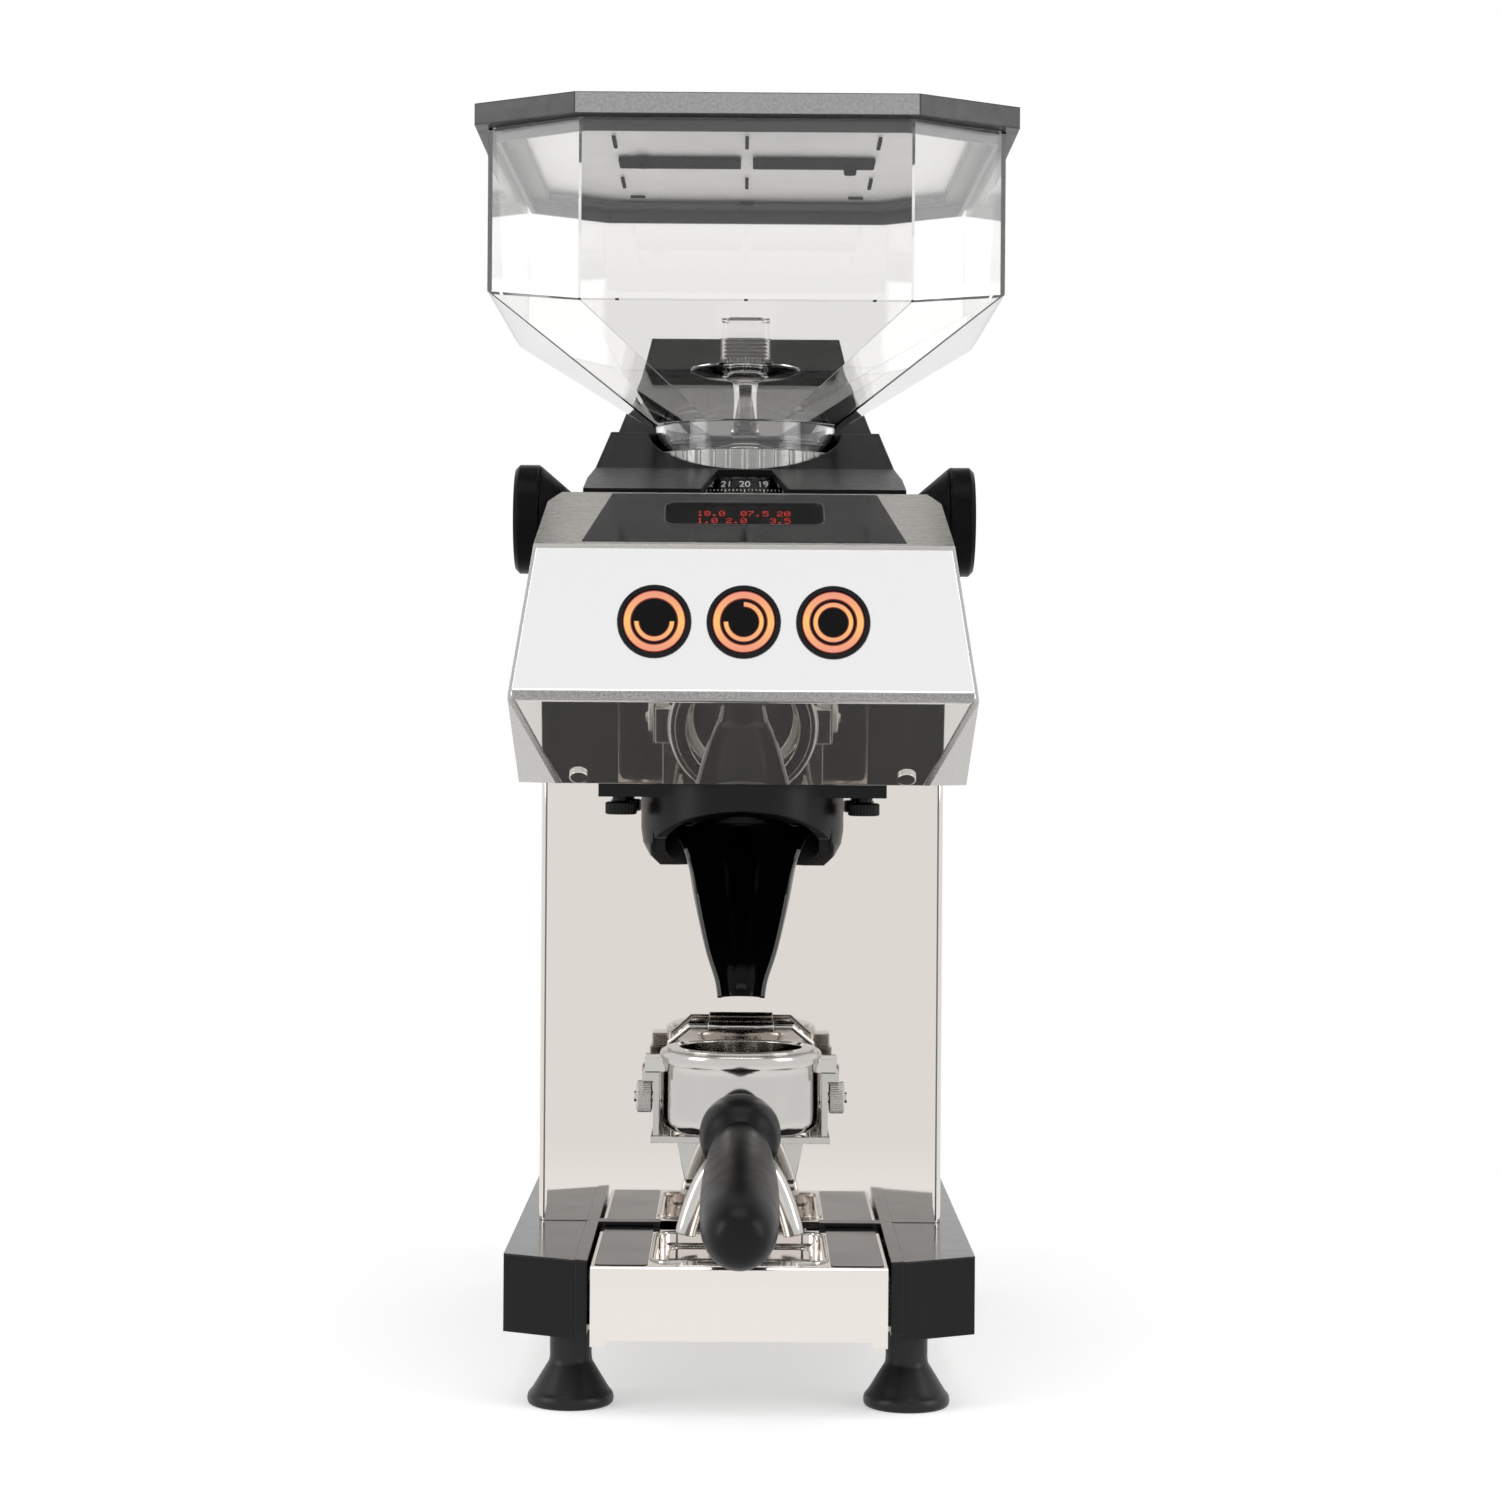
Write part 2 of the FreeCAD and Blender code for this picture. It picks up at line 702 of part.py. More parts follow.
def build_cover():
    foot = D.lip_front - D.panel_setback - D.slope_depth - 2
    near = D.cover_hole - D.axis_back
    far = -(D.cover_hole + D.axis_back) - 1
    reach = -(D.hopper_half_depth + D.axis_back)
    side_view = prism("yz", [
        (front(foot), HEAD_Z1),
        (front(foot), HEAD_Z1 + 2),
        (front(near), HEAD_Z1 + 18),
        (AXIS_Y, HEAD_Z1 + 40),
        (front(far), HEAD_Z1 + 40),
        (front(reach - 1), HEAD_Z1 + 84),
        (front(reach - 3), HEAD_Z1 + D.cradle_height),
        (REAR_Y, HEAD_Z1 + D.cradle_height),
        (REAR_Y, HEAD_Z1),
    ], -90, 90)
    hollow_view = prism("yz", [
        (front(foot - 10), HEAD_Z1 - 2),
        (front(foot - 10), HEAD_Z1 + 0.8),
        (front(near), HEAD_Z1 + 14.7),
        (AXIS_Y, HEAD_Z1 + 36.5),
        (front(far), HEAD_Z1 + 36.5),
        (front(reach - 4), HEAD_Z1 + 81.6),
        (front(reach - 6), HEAD_Z1 + D.cradle_height - 3),
        (REAR_Y - 3, HEAD_Z1 + D.cradle_height - 3),
        (REAR_Y - 3, HEAD_Z1 - 2),
    ], -90, 90)
    hull = common(cover_section(0), side_view)
    hollow = common(cover_section(D.plastic), hollow_view)
    hole = rod("z", (0, AXIS_Y), D.cover_hole, HEAD_Z1 - 5, HEAD_Z1 + 120)
    window = prism("xy", [
        (-20.5, front(foot + 2)),
        (20.5, front(foot + 2)),
        (13, front(-14)),
        (-13, front(-14)),
    ], HEAD_Z1 - 5, HEAD_Z1 + 30)
    node("top_cover", cut(hull, hollow, hole, window))


def gear_shape():
    """Spur ring with trapezoid teeth."""
    teeth = int(round(num(D.gear_teeth)))
    tip = num(D.gear_radius)
    root = tip - 4
    step = 2 * math.pi / teeth
    corners = []
    for k in range(teeth):
        for radius, part in ((root, -0.34), (tip, -0.16), (tip, 0.16), (root, 0.34)):
            angle = (k + part) * step
            corners.append(FreeCAD.Vector(radius * math.cos(angle), radius * math.sin(angle), 0))
    face = Part.Face(Part.makePolygon(corners + corners[:1]))
    return face.extrude(FreeCAD.Vector(0, 0, 8))


def build_collar():
    at = (0, AXIS_Y)
    radius = D.collar_radius
    gear = made(gear_shape())
    place(gear, 0, AXIS_Y, GEAR_Z)
    web_z = CHAMBER_Z + 33
    tube = rod("z", at, radius, web_z, COLLAR_Z1)
    bore = rod("z", at, radius - 7, web_z + 6, COLLAR_Z1 + 1)
    feed = rod("z", at, 15, web_z - 1, web_z + 7)
    notches = []
    for k in range(36):
        angle = math.radians(10 * k)
        x = (radius + 1) * math.cos(angle)
        y = AXIS_Y + (radius + 1) * math.sin(angle)
        notches.append(rod("z", (x, y), 2, HEAD_Z1 + 12, COLLAR_Z1 + 1))
    node("adjusting_collar", cut(fuse(tube, gear), bore, feed, *notches))
    dial = turned([
        (radius, 0),
        (68, 0),
        (68, 3),
        (54, 18.6),
        (50, 18.6),
        (radius, 3),
    ], "z", at, GEAR_Z + 8)
    node("dial_ring", dial)
    ring = cut(rod("z", at, D.burr_radius, web_z - 8, web_z), rod("z", at, 16, web_z - 9, web_z + 1))
    node("upper_burr", ring)


def build_worm():
    at = (front(D.worm_front), WORM_Z)
    spindle = rod("x", at, D.shaft_radius, -(D.knob_outer - 3), D.knob_outer - 3)
    worm = rod("x", at, D.worm_radius - 2.4, -30, 30)
    pitch = 8
    ribs = [
        turned([
            (0, -2.6),
            (D.worm_radius - 2.6, -2.6),
            (D.worm_radius, -1),
            (D.worm_radius, 1),
            (D.worm_radius - 2.6, 2.6),
            (0, 2.6),
        ], "x", at, pitch * k)
        for k in range(-3, 4)
    ]
    node("worm_shaft", fuse(spindle, worm, *ribs))
    bosses = []
    for side, name in SIDES:
        bore = rod("x", at, D.shaft_radius + 0.08, -D.knob_outer, D.knob_outer)
        bosses.append(cut(boss_cone(side), bore))
        disc = knob_disc(side, at)
        hole = rod("x", at, D.shaft_radius, -(D.knob_outer - 3), D.knob_outer - 3)
        node(name + "_knob", cut(disc, hole))
    node("knob_bosses", group(*bosses))


def knob_disc(side, at):
    inner = D.knob_outer - D.knob_width
    radius = D.knob_radius
    profile = [
        (0, inner * side),
        (radius - 0.6, inner * side),
        (radius, (inner + 0.8) * side),
        (radius, (D.knob_outer - 2) * side),
        (radius - 2, D.knob_outer * side),
        (0, D.knob_outer * side),
    ]
    return turned(profile, "x", at)


def ring_points(half, half_depth, front_half, chamfer, front_z, side_z):
    """Eight corners of the hopper's plan, front ones first."""
    y = num(AXIS_Y)
    a = num(half)
    b = num(half_depth)
    c = num(front_half)
    e = num(half_depth) - num(chamfer)
    spots = [(-c, -b), (c, -b), (a, -e), (a, e), (c, b), (-c, b), (-a, e), (-a, -e)]
    levels = [front_z, front_z, side_z, side_z, front_z, front_z, side_z, side_z]
    return [FreeCAD.Vector(x, y + d, num(z)) for (x, d), z in zip(spots, levels)]


def skinned(rings):
    """Solid from rings of corners, bottom ring first."""
    count = len(rings[0])
    faces = []
    for low, high in zip(rings, rings[1:]):
        for i in range(count):
            j = (i + 1) % count
            faces.append(Part.Face(Part.makePolygon([low[i], low[j], high[j], low[i]])))
            faces.append(Part.Face(Part.makePolygon([low[i], high[j], high[i], low[i]])))
    for ring in (rings[0], rings[-1]):
        faces.append(Part.Face(Part.makePolygon(ring + ring[:1])))
    solid = Part.Solid(Part.Shell(faces))
    if solid.Volume < 0:
        solid.reverse()
    return solid.removeSplitter()


def hopper_solid(inset, lowest, highest):
    """Walls and funnel of the hopper as one block, drawn in by an inset."""
    half = num(D.hopper_half) - inset
    depth = num(D.hopper_half_depth) - inset
    face = num(D.hopper_front_half) - inset * 0.4
    chamfer = num(D.hopper_chamfer)
    neck = num(D.throat_radius) - inset + 1
    near = neck * math.tan(math.radians(22.5))
    rings = [
        ring_points(neck, neck, near, neck - near, lowest, lowest),
        ring_points(half, depth, face, chamfer, num(WALL_Z), num(WALL_Z) + 7),
        ring_points(half, depth, face, chamfer, highest, highest),
    ]
    return skinned(rings)


def build_hopper():
    wall = num(D.hopper_wall)
    at = (0, AXIS_Y)
    outer = made(hopper_solid(0, FUNNEL_Z, HOPPER_Z1))
    inner = made(hopper_solid(wall, num(FUNNEL_Z) - 0.5, num(HOPPER_Z1) + 5))
    throat = rod("z", at, D.throat_radius, THROAT_Z, FUNNEL_Z + 2)
    bore = rod("z", at, D.throat_radius - 4, THROAT_Z + 3.4, FUNNEL_Z + 3)
    mouth = rod("z", at, D.throat_radius - 9, THROAT_Z - 1, FUNNEL_Z)
    node("hopper_body", cut(fuse(outer, throat), inner, bore, mouth))
    z = THROAT_Z
    plunger = turned([
        (0, 3.8),
        (38.5, 3.8),
        (38.5, 6.4),
        (12, 8.5),
        (6.75, 12),
        (6.75, 39),
        (27.6, 40),
        (27.6, 45),
        (14, 46.5),
        (0, 46.5),
    ], "z", at, z)
    grip = box((-13, 13), (AXIS_Y - 10, AXIS_Y + 10), (z + 45, z + 70))
    node("gate_plunger", fuse(plunger, grip))


def plan_points(half, half_depth, front_half, chamfer):
    spots = [(-1, -1), (1, -1), (1, 1), (-1, 1)]
    points = []
    edge = half_depth - chamfer
    for sx, sy in spots:
        along_front = (sx * front_half, AXIS_Y + sy * half_depth)
        along_side = (sx * half, AXIS_Y + sy * edge)
        points += [along_side, along_front] if sx * sy > 0 else [along_front, along_side]
    return points


def lid_plan(grow, front_grow):
    """Plan of the hopper's walls, grown outwards."""
    half = D.hopper_half + grow
    half_depth = D.hopper_half_depth + grow
    return plan_points(half, half_depth, D.hopper_front_half + front_grow, D.hopper_chamfer)


def build_lid():
    over = D.lid_overhang
    z0 = HOPPER_Z1 + GAP
    z1 = z0 + D.lid_height
    full = lid_plan(over, 2)
    inner = lid_plan(-14, -6)
    skirt = lid_plan(-4, -2)
    thin = lid_plan(-6, -3)
    rim = prism("xy", full, z0, z1)
    flange = prism("xy", skirt, z0 - 6, z0)
    gutter = prism("xy", thin, z0 - 7, z0)
    opening = prism("xy", inner, z0 - 1, z1 + 1)
    bars = []
    for side, _ in SIDES:
        bars.append(box(beside(side, 3, 64), (AXIS_Y - 12, AXIS_Y + 12), (z1 - 4, z1 - 1)))
    node("lid_frame", group(cut(fuse(rim, flange), gutter, opening), *bars))
    pane = prism("xy", inner, z1 - 6.5, z1 - 4)
    node("lid_panel", pane)


def build_motor():
    at = (0, AXIS_Y)
    plate_z = CHAMBER_Z - 8
    low = plate_z - 145
    radius = D.motor_radius
    can = rod("z", at, radius, low, plate_z)
    cavity = rod("z", at, radius - 4, low + 12, plate_z - 12)
    seats = [rod("z", at, 13, low + 4, low + 13), rod("z", at, 13, plate_z - 13, plate_z - 4)]
    passage = rod("z", at, D.drive_radius + 1, low - 1, plate_z + 1)
    node("motor_housing", cut(can, cavity, passage, *seats))
    stator = rod("z", at, radius - 4, low + 40, low + 110)
    node("stator", cut(stator, rod("z", at, D.rotor_radius + 0.6, low + 39, low + 111)))
    bearings = []
    for z in (low + 4, plate_z - 12):
        ring = rod("z", at, 13, z, z + 8)
        bearings.append(cut(ring, rod("z", at, D.drive_radius + 0.05, z - 1, z + 9)))
    node("shaft_bearings", group(*bearings))
    drive = rod("z", at, D.drive_radius, low + 2, CHAMBER_Z + 15)
    node("drive_shaft", drive)
    core = rod("z", at, D.rotor_radius, low + 40, low + 110)
    disc = rod("z", at, 46, low + 18, low + 21)
    hub = rod("z", at, 12, low + 18, low + 40)
    vanes = []
    for k in range(8):
        vane = doc.addObject("Part::Box", "Vane")
        bind(vane, "Length", 30)
        bind(vane, "Width", 2)
        bind(vane, "Height", 9)
        turn = FreeCAD.Rotation(FreeCAD.Vector(0, 0, 1), 45 * k)
        vane.Placement = FreeCAD.Placement(FreeCAD.Vector(), turn)
        start = turn.multVec(FreeCAD.Vector(14, -1, 0))
        place(vane, start.x, AXIS_Y + start.y, low + 21)
        vanes.append(vane)
    spin = cut(fuse(core, disc, hub, *vanes), rod("z", at, D.drive_radius, low, plate_z))
    node("motor_rotor", spin)
    plate = box(both(D.column_half - 1.5), (front(-6), REAR_Y - 20), (plate_z, CHAMBER_Z))
    node("motor_plate", cut(plate, rod("z", at, D.drive_radius + 2, plate_z - 1, CHAMBER_Z + 1)))
    brackets = []
    for side, _ in SIDES:
        x = beside(side, D.column_half - 4.5, D.column_half - 1.5)
        brackets.append(box(x, (PANEL_Y + 30, PANEL_Y + 120), (HEAD_Z0 - 80, plate_z)))
    node("motor_brackets", group(*brackets))


def build_chamber():
    at = (0, AXIS_Y)
    z0 = CHAMBER_Z
    wall = rod("z", at, D.chamber_radius, z0, GEAR_Z - 2)
    bore = rod("z", at, D.collar_radius + GAP, z0 + 4, GEAR_Z)
    passage = rod("z", at, D.drive_radius + 2, z0 - 1, z0 + 5)
    port = box(both(13), (AXIS_Y - D.chamber_radius - 2, AXIS_Y - 40), (z0 + 5, z0 + 23))
    node("grinding_chamber", cut(wall, bore, passage, port))
    carrier = cut(rod("z", at, D.burr_radius + 2, z0 + 8, z0 + 16.4),
                  rod("z", at, D.drive_radius, z0 + 7, z0 + 15))
    node("burr_carrier", carrier)
    node("lower_burr", cut(rod("z", at, D.burr_radius, z0 + 16.4, z0 + 24.4),
                           rod("z", at, 14, z0 + 16, z0 + 25)))
    mouth = z0 + 25
    far = D.mount_front + 14
    near = D.mount_front - 14
    duct = prism("yz", [
        (front(-20), z0 + 3),
        (front(-20), mouth),
        (front(6), mouth),
        (front(far), HEAD_Z0 + 34),
        (front(far), HEAD_Z0 + 1.5),
        (front(near), HEAD_Z0 + 1.5),
        (front(near), HEAD_Z0 + 20),
        (front(-4), z0 + 3),
    ], -15, 15)
    inner = prism("yz", [
        (front(-22), z0 + 5),
        (front(-22), mouth - 2),
        (front(5), mouth - 2),
        (front(far - 2), HEAD_Z0 + 33),
        (front(far - 2), HEAD_Z0 - 1),
        (front(near + 2), HEAD_Z0 - 1),
        (front(near + 2), HEAD_Z0 + 21),
        (front(-3), z0 + 5),
    ], -13, 13)
    body = rod("z", at, D.chamber_radius, z0, GEAR_Z)
    node("outlet_chute", cut(duct, inner, body))
    node("start_capacitor", rod("z", (-45, REAR_Y - 42), 20, PLATE_Z, PLATE_Z + 85))
    wall_x = D.column_half - D.sheet
    board = box((wall_x - 1.6, wall_x), (PANEL_Y + 60, PANEL_Y + 180), (90, 170))
    chips = [
        box((wall_x - 14, wall_x - 1.6), (PANEL_Y + 70, PANEL_Y + 100), (100, 130)),
        box((wall_x - 9, wall_x - 1.6), (PANEL_Y + 115, PANEL_Y + 165), (110, 150)),
    ]
    node("control_board", fuse(board, *chips))


SPOUT_SECTIONS = [
    (-18.6, 34.5, 29.0, 0),
    (-24, 31.5, 27.8, 1.6),
    (-31, 27.8, 26.2, 4.4),
    (-41, 24.6, 24.3, 9),
    (-53, 22.3, 22.2, 16),
    (-65, 19.5, 19.4, 24),
    (-77, 16.2, 16.1, 33),
    (-89, 12.1, 12.0, 41),
    (-97, 10.8, 10.7, 45),
]


def spout_ring(drop, half_width, half_depth, ahead):
    """Level oval under the spout mount."""
    spot = FreeCAD.Vector(0, num(front(D.mount_front)) - ahead, num(HEAD_Z0) + drop)
    wide = spot + FreeCAD.Vector(half_width, 0, 0)
    deep = spot + FreeCAD.Vector(0, half_depth, 0)
    return Part.Wire([Part.Ellipse(wide, deep, spot).toShape()])


def spout_loft(inset):
    wires = [
        spout_ring(drop, half_width - inset, half_depth - inset, ahead)
        for drop, half_width, half_depth, ahead in SPOUT_SECTIONS
    ]
    return Part.makeLoft(wires, True)


def wedge(corners):
    """Side-view outline drawn out to both sides of the middle."""
    spots = [FreeCAD.Vector(-70, num(y), num(z)) for y, z in corners]
    return Part.Face(Part.makePolygon(spots + spots[:1])).extrude(FreeCAD.Vector(140, 0, 0))


def spout_shape(slant):
    """Open scoop with a flared mouth, under a sleeve that fits the mount's bore."""
    y = front(D.mount_front)
    z = HEAD_Z0
    half = wedge([(y - 90, z - 18), (y - 2, z - 18), (y - 47, z - 100), (y - 90, z - 100)])
    rim = Part.Face(spout_ring(-20.6, 35.2, 29.3, 0)).extrude(FreeCAD.Vector(0, 0, 2.2))
    scoop = spout_loft(0).fuse(rim).cut(spout_loft(2.0)).cut(half)
    sleeve = Part.makeCylinder(30, 18.6, FreeCAD.Vector(0, num(y), num(z) - 19.6)).cut(wedge(slant))
    inside = Part.makeCylinder(26.4, 21, FreeCAD.Vector(0, num(y), num(z) - 21))
    return scoop.fuse(sleeve).cut(inside)


def build_spout():
    at = (0, front(D.mount_front))
    y = front(D.mount_front)
    z = HEAD_Z0
    ears = box(both(67), (y - 16, y + 16), (z - 6.4, z))
    hub = (0, front(D.drum_front))
    drum = turned([
        (0, 0),
        (D.mount_radius, 0),
        (D.mount_radius, -22),
        (D.mount_radius - 1, -28.5),
        (D.mount_radius - 4.2, -34.5),
        (D.mount_radius - 9.2, -39.2),
        (0, -39.2),
    ], "z", hub, z)
    low = z - D.mount_drop - 1
    pocket = Part.Face(spout_ring(-18, 36.6, 29.7, 0)).extrude(FreeCAD.Vector(0, 0, -30))
    clips = [box(beside(side, 35, 41.5), (y - 7, y + 5), (low, z - 21)) for side, _ in SIDES]
    bore = rod("z", at, 30, z - 20, z + 1)
    behind = box(both(80), (PANEL_Y - 0.6, PANEL_Y + 90), (z - D.mount_drop - 5, z + 1))
    slant = [
        (front(80), z - 3),
        (front(10), z - D.mount_drop),
        (front(10), z - D.mount_drop - 30),
        (front(80), z - D.mount_drop - 30),
    ]
    holes = [rod("z", (side * D.screw_across, y), 4.15 + GAP, z - 10, z + 1) for side, _ in SIDES]
    cutter = prism("yz", slant, -70, 70)
    body = cut(fuse(ears, drum), made(pocket))
    node("spout_mount", cut(cut(body, *clips, behind, *holes), bore, cutter))
    node("spout", made(spout_shape(slant)))
    for side, name in SIDES:
        spot = (side * D.screw_across, y)
        stem = rod("z", spot, 4.15, z - 9, z - 1)
        head = rod("z", spot, 7.4, z - 15, z - 9)
        node(name + "_thumb_screw", fuse(stem, head))


def build_fork():
    level = D.fork_level
    outer = D.arm_inner + 4
    deep = D.dock_front + 12
    plate = box(both(outer), (front(deep), PANEL_Y), (level, level + 3))
    slot = box(both(14), (front(deep + 1), front(18)), (level - 1, level + 4))
    flange = prism("xz", [
        (33, level + 3),
        (-33, level + 3),
        (-26, level - 29),
        (26, level - 29),
    ], front(2), PANEL_Y)
    roll = rod("x", (front(2.5), level - 29), 2.5, -26, 26)
    posts = [box(beside(side, 31, 33), (front(22), front(6)), (level + 3, level + 15)) for side, _ in SIDES]
    pin = (front(14), level + 10)
    pins = [rod("x", pin, 1.6, *beside(side, 33, 38)) for side, _ in SIDES]
    node("fork_bracket", fuse(cut(plate, slot), flange, roll, *posts, *pins))
    arms = []
    across = (front(D.dock_front + 10), front(D.dock_front - 10))
    for side, name in SIDES:
        wall = box(beside(side, D.arm_inner, D.arm_inner + 3), across, (level + 3, LUG_Z - 4))
        tab = box(beside(side, D.arm_inner, D.arm_inner + 8), across, (LUG_Z - 4, LUG_Z))
        spot = (front(D.dock_front), level + 20)
        stud = rod("x", spot, 2.5, *beside(side, D.arm_inner + 3, D.arm_inner + 12))
        arms.append(fuse(wall, tab, stud))
        nut = rod("x", spot, 7.35, *beside(side, D.arm_inner + 3.4, D.arm_inner + 11))
        hole = rod("x", spot, 2.5 + GAP, *beside(side, 30, 60))
        node(name + "_thumb_nut", cut(nut, hole))
    node("guide_arms", group(*arms))
    build_bail(pin, level)


def build_bail(pin, level):
    """Wire loop that hangs on the fork's pins and reaches over the back of the rim."""
    wire = 1.2
    y0 = num(pin[0])
    z0 = num(pin[1])
    y1 = num(front(D.dock_front - D.rim_radius + 3))
    z1 = num(LUG_Z) + 17
    spots = [(-35.5, y0, z0), (-33.7, y1 + 5, z1 - 8), (-24, y1, z1), (24, y1, z1),
             (33.7, y1 + 5, z1 - 8), (35.5, y0, z0)]
    points = [FreeCAD.Vector(*spot) for spot in spots]
    shape = None
    for start, end in zip(points, points[1:]):
        piece = Part.makeCylinder(wire, (end - start).Length, start, end - start)
        shape = piece if shape is None else shape.fuse(piece)
        shape = shape.fuse(Part.makeSphere(wire, end))
    for side, spot in ((-1, points[0]), (1, points[-1])):
        eye = Part.makeCylinder(3.6, 2.4, spot - FreeCAD.Vector(1.2, 0, 0), FreeCAD.Vector(1, 0, 0))
        shape = shape.fuse(eye)
    for spot in (points[0], points[-1]):
        start = spot - FreeCAD.Vector(3, 0, 0)
        shape = shape.cut(Part.makeCylinder(1.6 + GAP, 6, start, FreeCAD.Vector(1, 0, 0)))
    node("hold_down_bail", made(shape.removeSplitter()))
    sleeve = Part.makeCylinder(2.3, 31, FreeCAD.Vector(-15.5, y1, z1), FreeCAD.Vector(1, 0, 0))
    bore = Part.makeCylinder(wire + GAP, 33, FreeCAD.Vector(-16.5, y1, z1), FreeCAD.Vector(1, 0, 0))
    node("bail_sleeve", made(sleeve.cut(bore)))


def build_portafilter():
    at = (0, front(D.dock_front))
    y = front(D.dock_front)
    low = D.fork_level + 5
    rim_z = LUG_Z + 10
    radius = D.rim_radius
    cup = turned([
        (0, low),
        (24, low),
        (28, low + 3),
        (33.5, low + 17),
        (33.5, LUG_Z + 0.4),
        (radius - 1, LUG_Z + 3),
        (radius, LUG_Z + 5),
        (radius, rim_z - 1),
        (radius - 1, rim_z),
        (radius - 4.6, rim_z),
        (radius - 4.6, LUG_Z),
        (30.5, LUG_Z - 1),
        (30.5, low + 18),
        (25, low + 5),
        (0, low + 5),
    ], "z", at)
    lugs = [box(beside(side, 30, 43.9), (y - 9, y + 9), (LUG_Z + GAP, LUG_Z + 6.4)) for side, _ in SIDES]
    hollow = rod("z", at, radius - 4.6, LUG_Z - 2, rim_z + 1)
    neck = rod("z", at, 9, low - 14, low + 1)
    bar = rod("x", (y, low - 20), 7.5, -22, 22)
    tips = [cone("z", (side * 22, y), 5.2, 7.5, low - 46, low - 18) for side, _ in SIDES]
    bores = [rod("z", (side * 22, y), 3.6, low - 47, low - 20) for side, _ in SIDES]
    socket = handle_turned([(0, 28), (10, 28), (12, 38), (12, 44), (0, 44)])
    tang = handle_turned([(0, 40), (5, 40), (5, 45), (0, 45)])
    shell = cut(fuse(cup, *lugs, socket), hollow, cup_space(at, low), tang)
    outlets = cut(fuse(neck, bar, *tips), *bores)
    node("portafilter_body", fuse(shell, outlets))
    basket = turned([
        (25.5, low + 14),
        (0, low + 14),
        (0, low + 12.5),
        (26.5, low + 12.5),
        (29, low + 20),
        (29.4, rim_z),
        (34, rim_z),
        (34, rim_z + 1.2),
        (28.2, rim_z + 1.2),
        (27.8, low + 20.5),
    ], "z", at)
    node("filter_basket", basket)
    lean = math.radians(num(D.handle_pitch))
    crown = 1.5
    tip = (D.handle_reach - D.dock_front) / math.cos(lean) - D.handle_end_radius * math.tan(lean) + crown
    grip = handle_turned([
        (0, 40),
        (5, 40),
        (5, 44),
        (14, 44),
        (16.5, 47),
        (16.5, 58),
        (14.5, 62),
        (14, 66),
        (16, 82),
        (16.8, 110),
        (16.6, tip - 14),
        (15, tip - 6),
        (D.handle_end_radius, tip - crown),
        (0, tip),
    ])
    node("portafilter_handle", grip)


def cup_space(at, low):
    return cone("z", at, 25, 30.5, low + 5, low + 18)


def handle_turned(points):
    """Profile turned about the handle's axis, which starts in the middle of the cup."""
    body = turned(points, "z", (0, 0))
    turn = FreeCAD.Rotation(FreeCAD.Vector(1, 0, 0), 90 + num(D.handle_pitch))
    body.Placement = FreeCAD.Placement(FreeCAD.Vector(), turn)
    place(body, 0, front(D.dock_front), D.fork_level + D.handle_level)
    return body


def build_all():
    build_base()
    build_feet()
    build_tray()
    build_column()
    build_housing()
    build_panel()
    build_underside()
    build_display()
    build_cover()
    build_collar()
    build_worm()
    build_hopper()
    build_lid()
    build_motor()
    build_chamber()
    build_spout()
    build_fork()
    build_portafilter()


def check_and_write():
    doc.recompute()
    for item in doc.Objects:
        if "Invalid" in item.State or "Error" in item.State:
            raise RuntimeError("%s (%s) did not compute" % (item.Name, item.Label))
    os.makedirs("parts", exist_ok=True)
    for name, item in NODES.items():
        shape = item.Shape
        if shape.isNull() or not shape.isValid() or not shape.Solids:
            raise RuntimeError("%s is not a sound solid" % name)
        shape.exportStep("parts/%s.step" % name)


build_all()
check_and_write()
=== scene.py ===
"""Looks of the burr coffee grinder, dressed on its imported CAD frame. Sizes are in metres."""

import math

import bmesh
import bpy
from mathutils import Matrix, Vector


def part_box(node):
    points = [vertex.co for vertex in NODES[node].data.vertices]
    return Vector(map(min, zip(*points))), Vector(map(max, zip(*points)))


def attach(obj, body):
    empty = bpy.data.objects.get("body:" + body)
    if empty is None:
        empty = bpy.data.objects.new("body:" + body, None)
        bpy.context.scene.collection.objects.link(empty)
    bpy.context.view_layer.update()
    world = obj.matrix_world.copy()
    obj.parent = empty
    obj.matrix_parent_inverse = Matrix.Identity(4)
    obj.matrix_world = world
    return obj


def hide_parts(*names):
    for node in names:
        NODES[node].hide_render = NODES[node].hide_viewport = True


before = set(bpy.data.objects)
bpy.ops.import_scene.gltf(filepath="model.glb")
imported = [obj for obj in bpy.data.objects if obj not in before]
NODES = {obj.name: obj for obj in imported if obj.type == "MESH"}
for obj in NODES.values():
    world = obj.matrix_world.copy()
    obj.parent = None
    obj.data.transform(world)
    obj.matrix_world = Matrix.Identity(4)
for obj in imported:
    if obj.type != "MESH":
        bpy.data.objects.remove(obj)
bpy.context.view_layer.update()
MM = 0.001
SIDES = ((-1, "left"), (1, "right"))

PHOTO_PIXELS = 1500
FOCAL_PIXELS = 3125
CAMERA_AT = (0.0, -1.499, 0.305)
HORIZON_RISE = 20
CENTRE_LEFT = 7
ROLL = 0.4

AXIS_Y = 68 * MM
DOCK_Y = -59 * MM
SLOPE_FRONT = Vector((0, -105 * MM, 387.5 * MM))
SLOPE_BACK = Vector((0, -61 * MM, 414 * MM))
HANDLE_START = Vector((0, DOCK_Y, 135.5 * MM))
HANDLE_PITCH = math.radians(13.5)
THROAT_Z = 442.4 * MM
LID_UNDER = 589.3 * MM
LID_MARK = 1.2 * MM
TRAY_TOP = 67 * MM

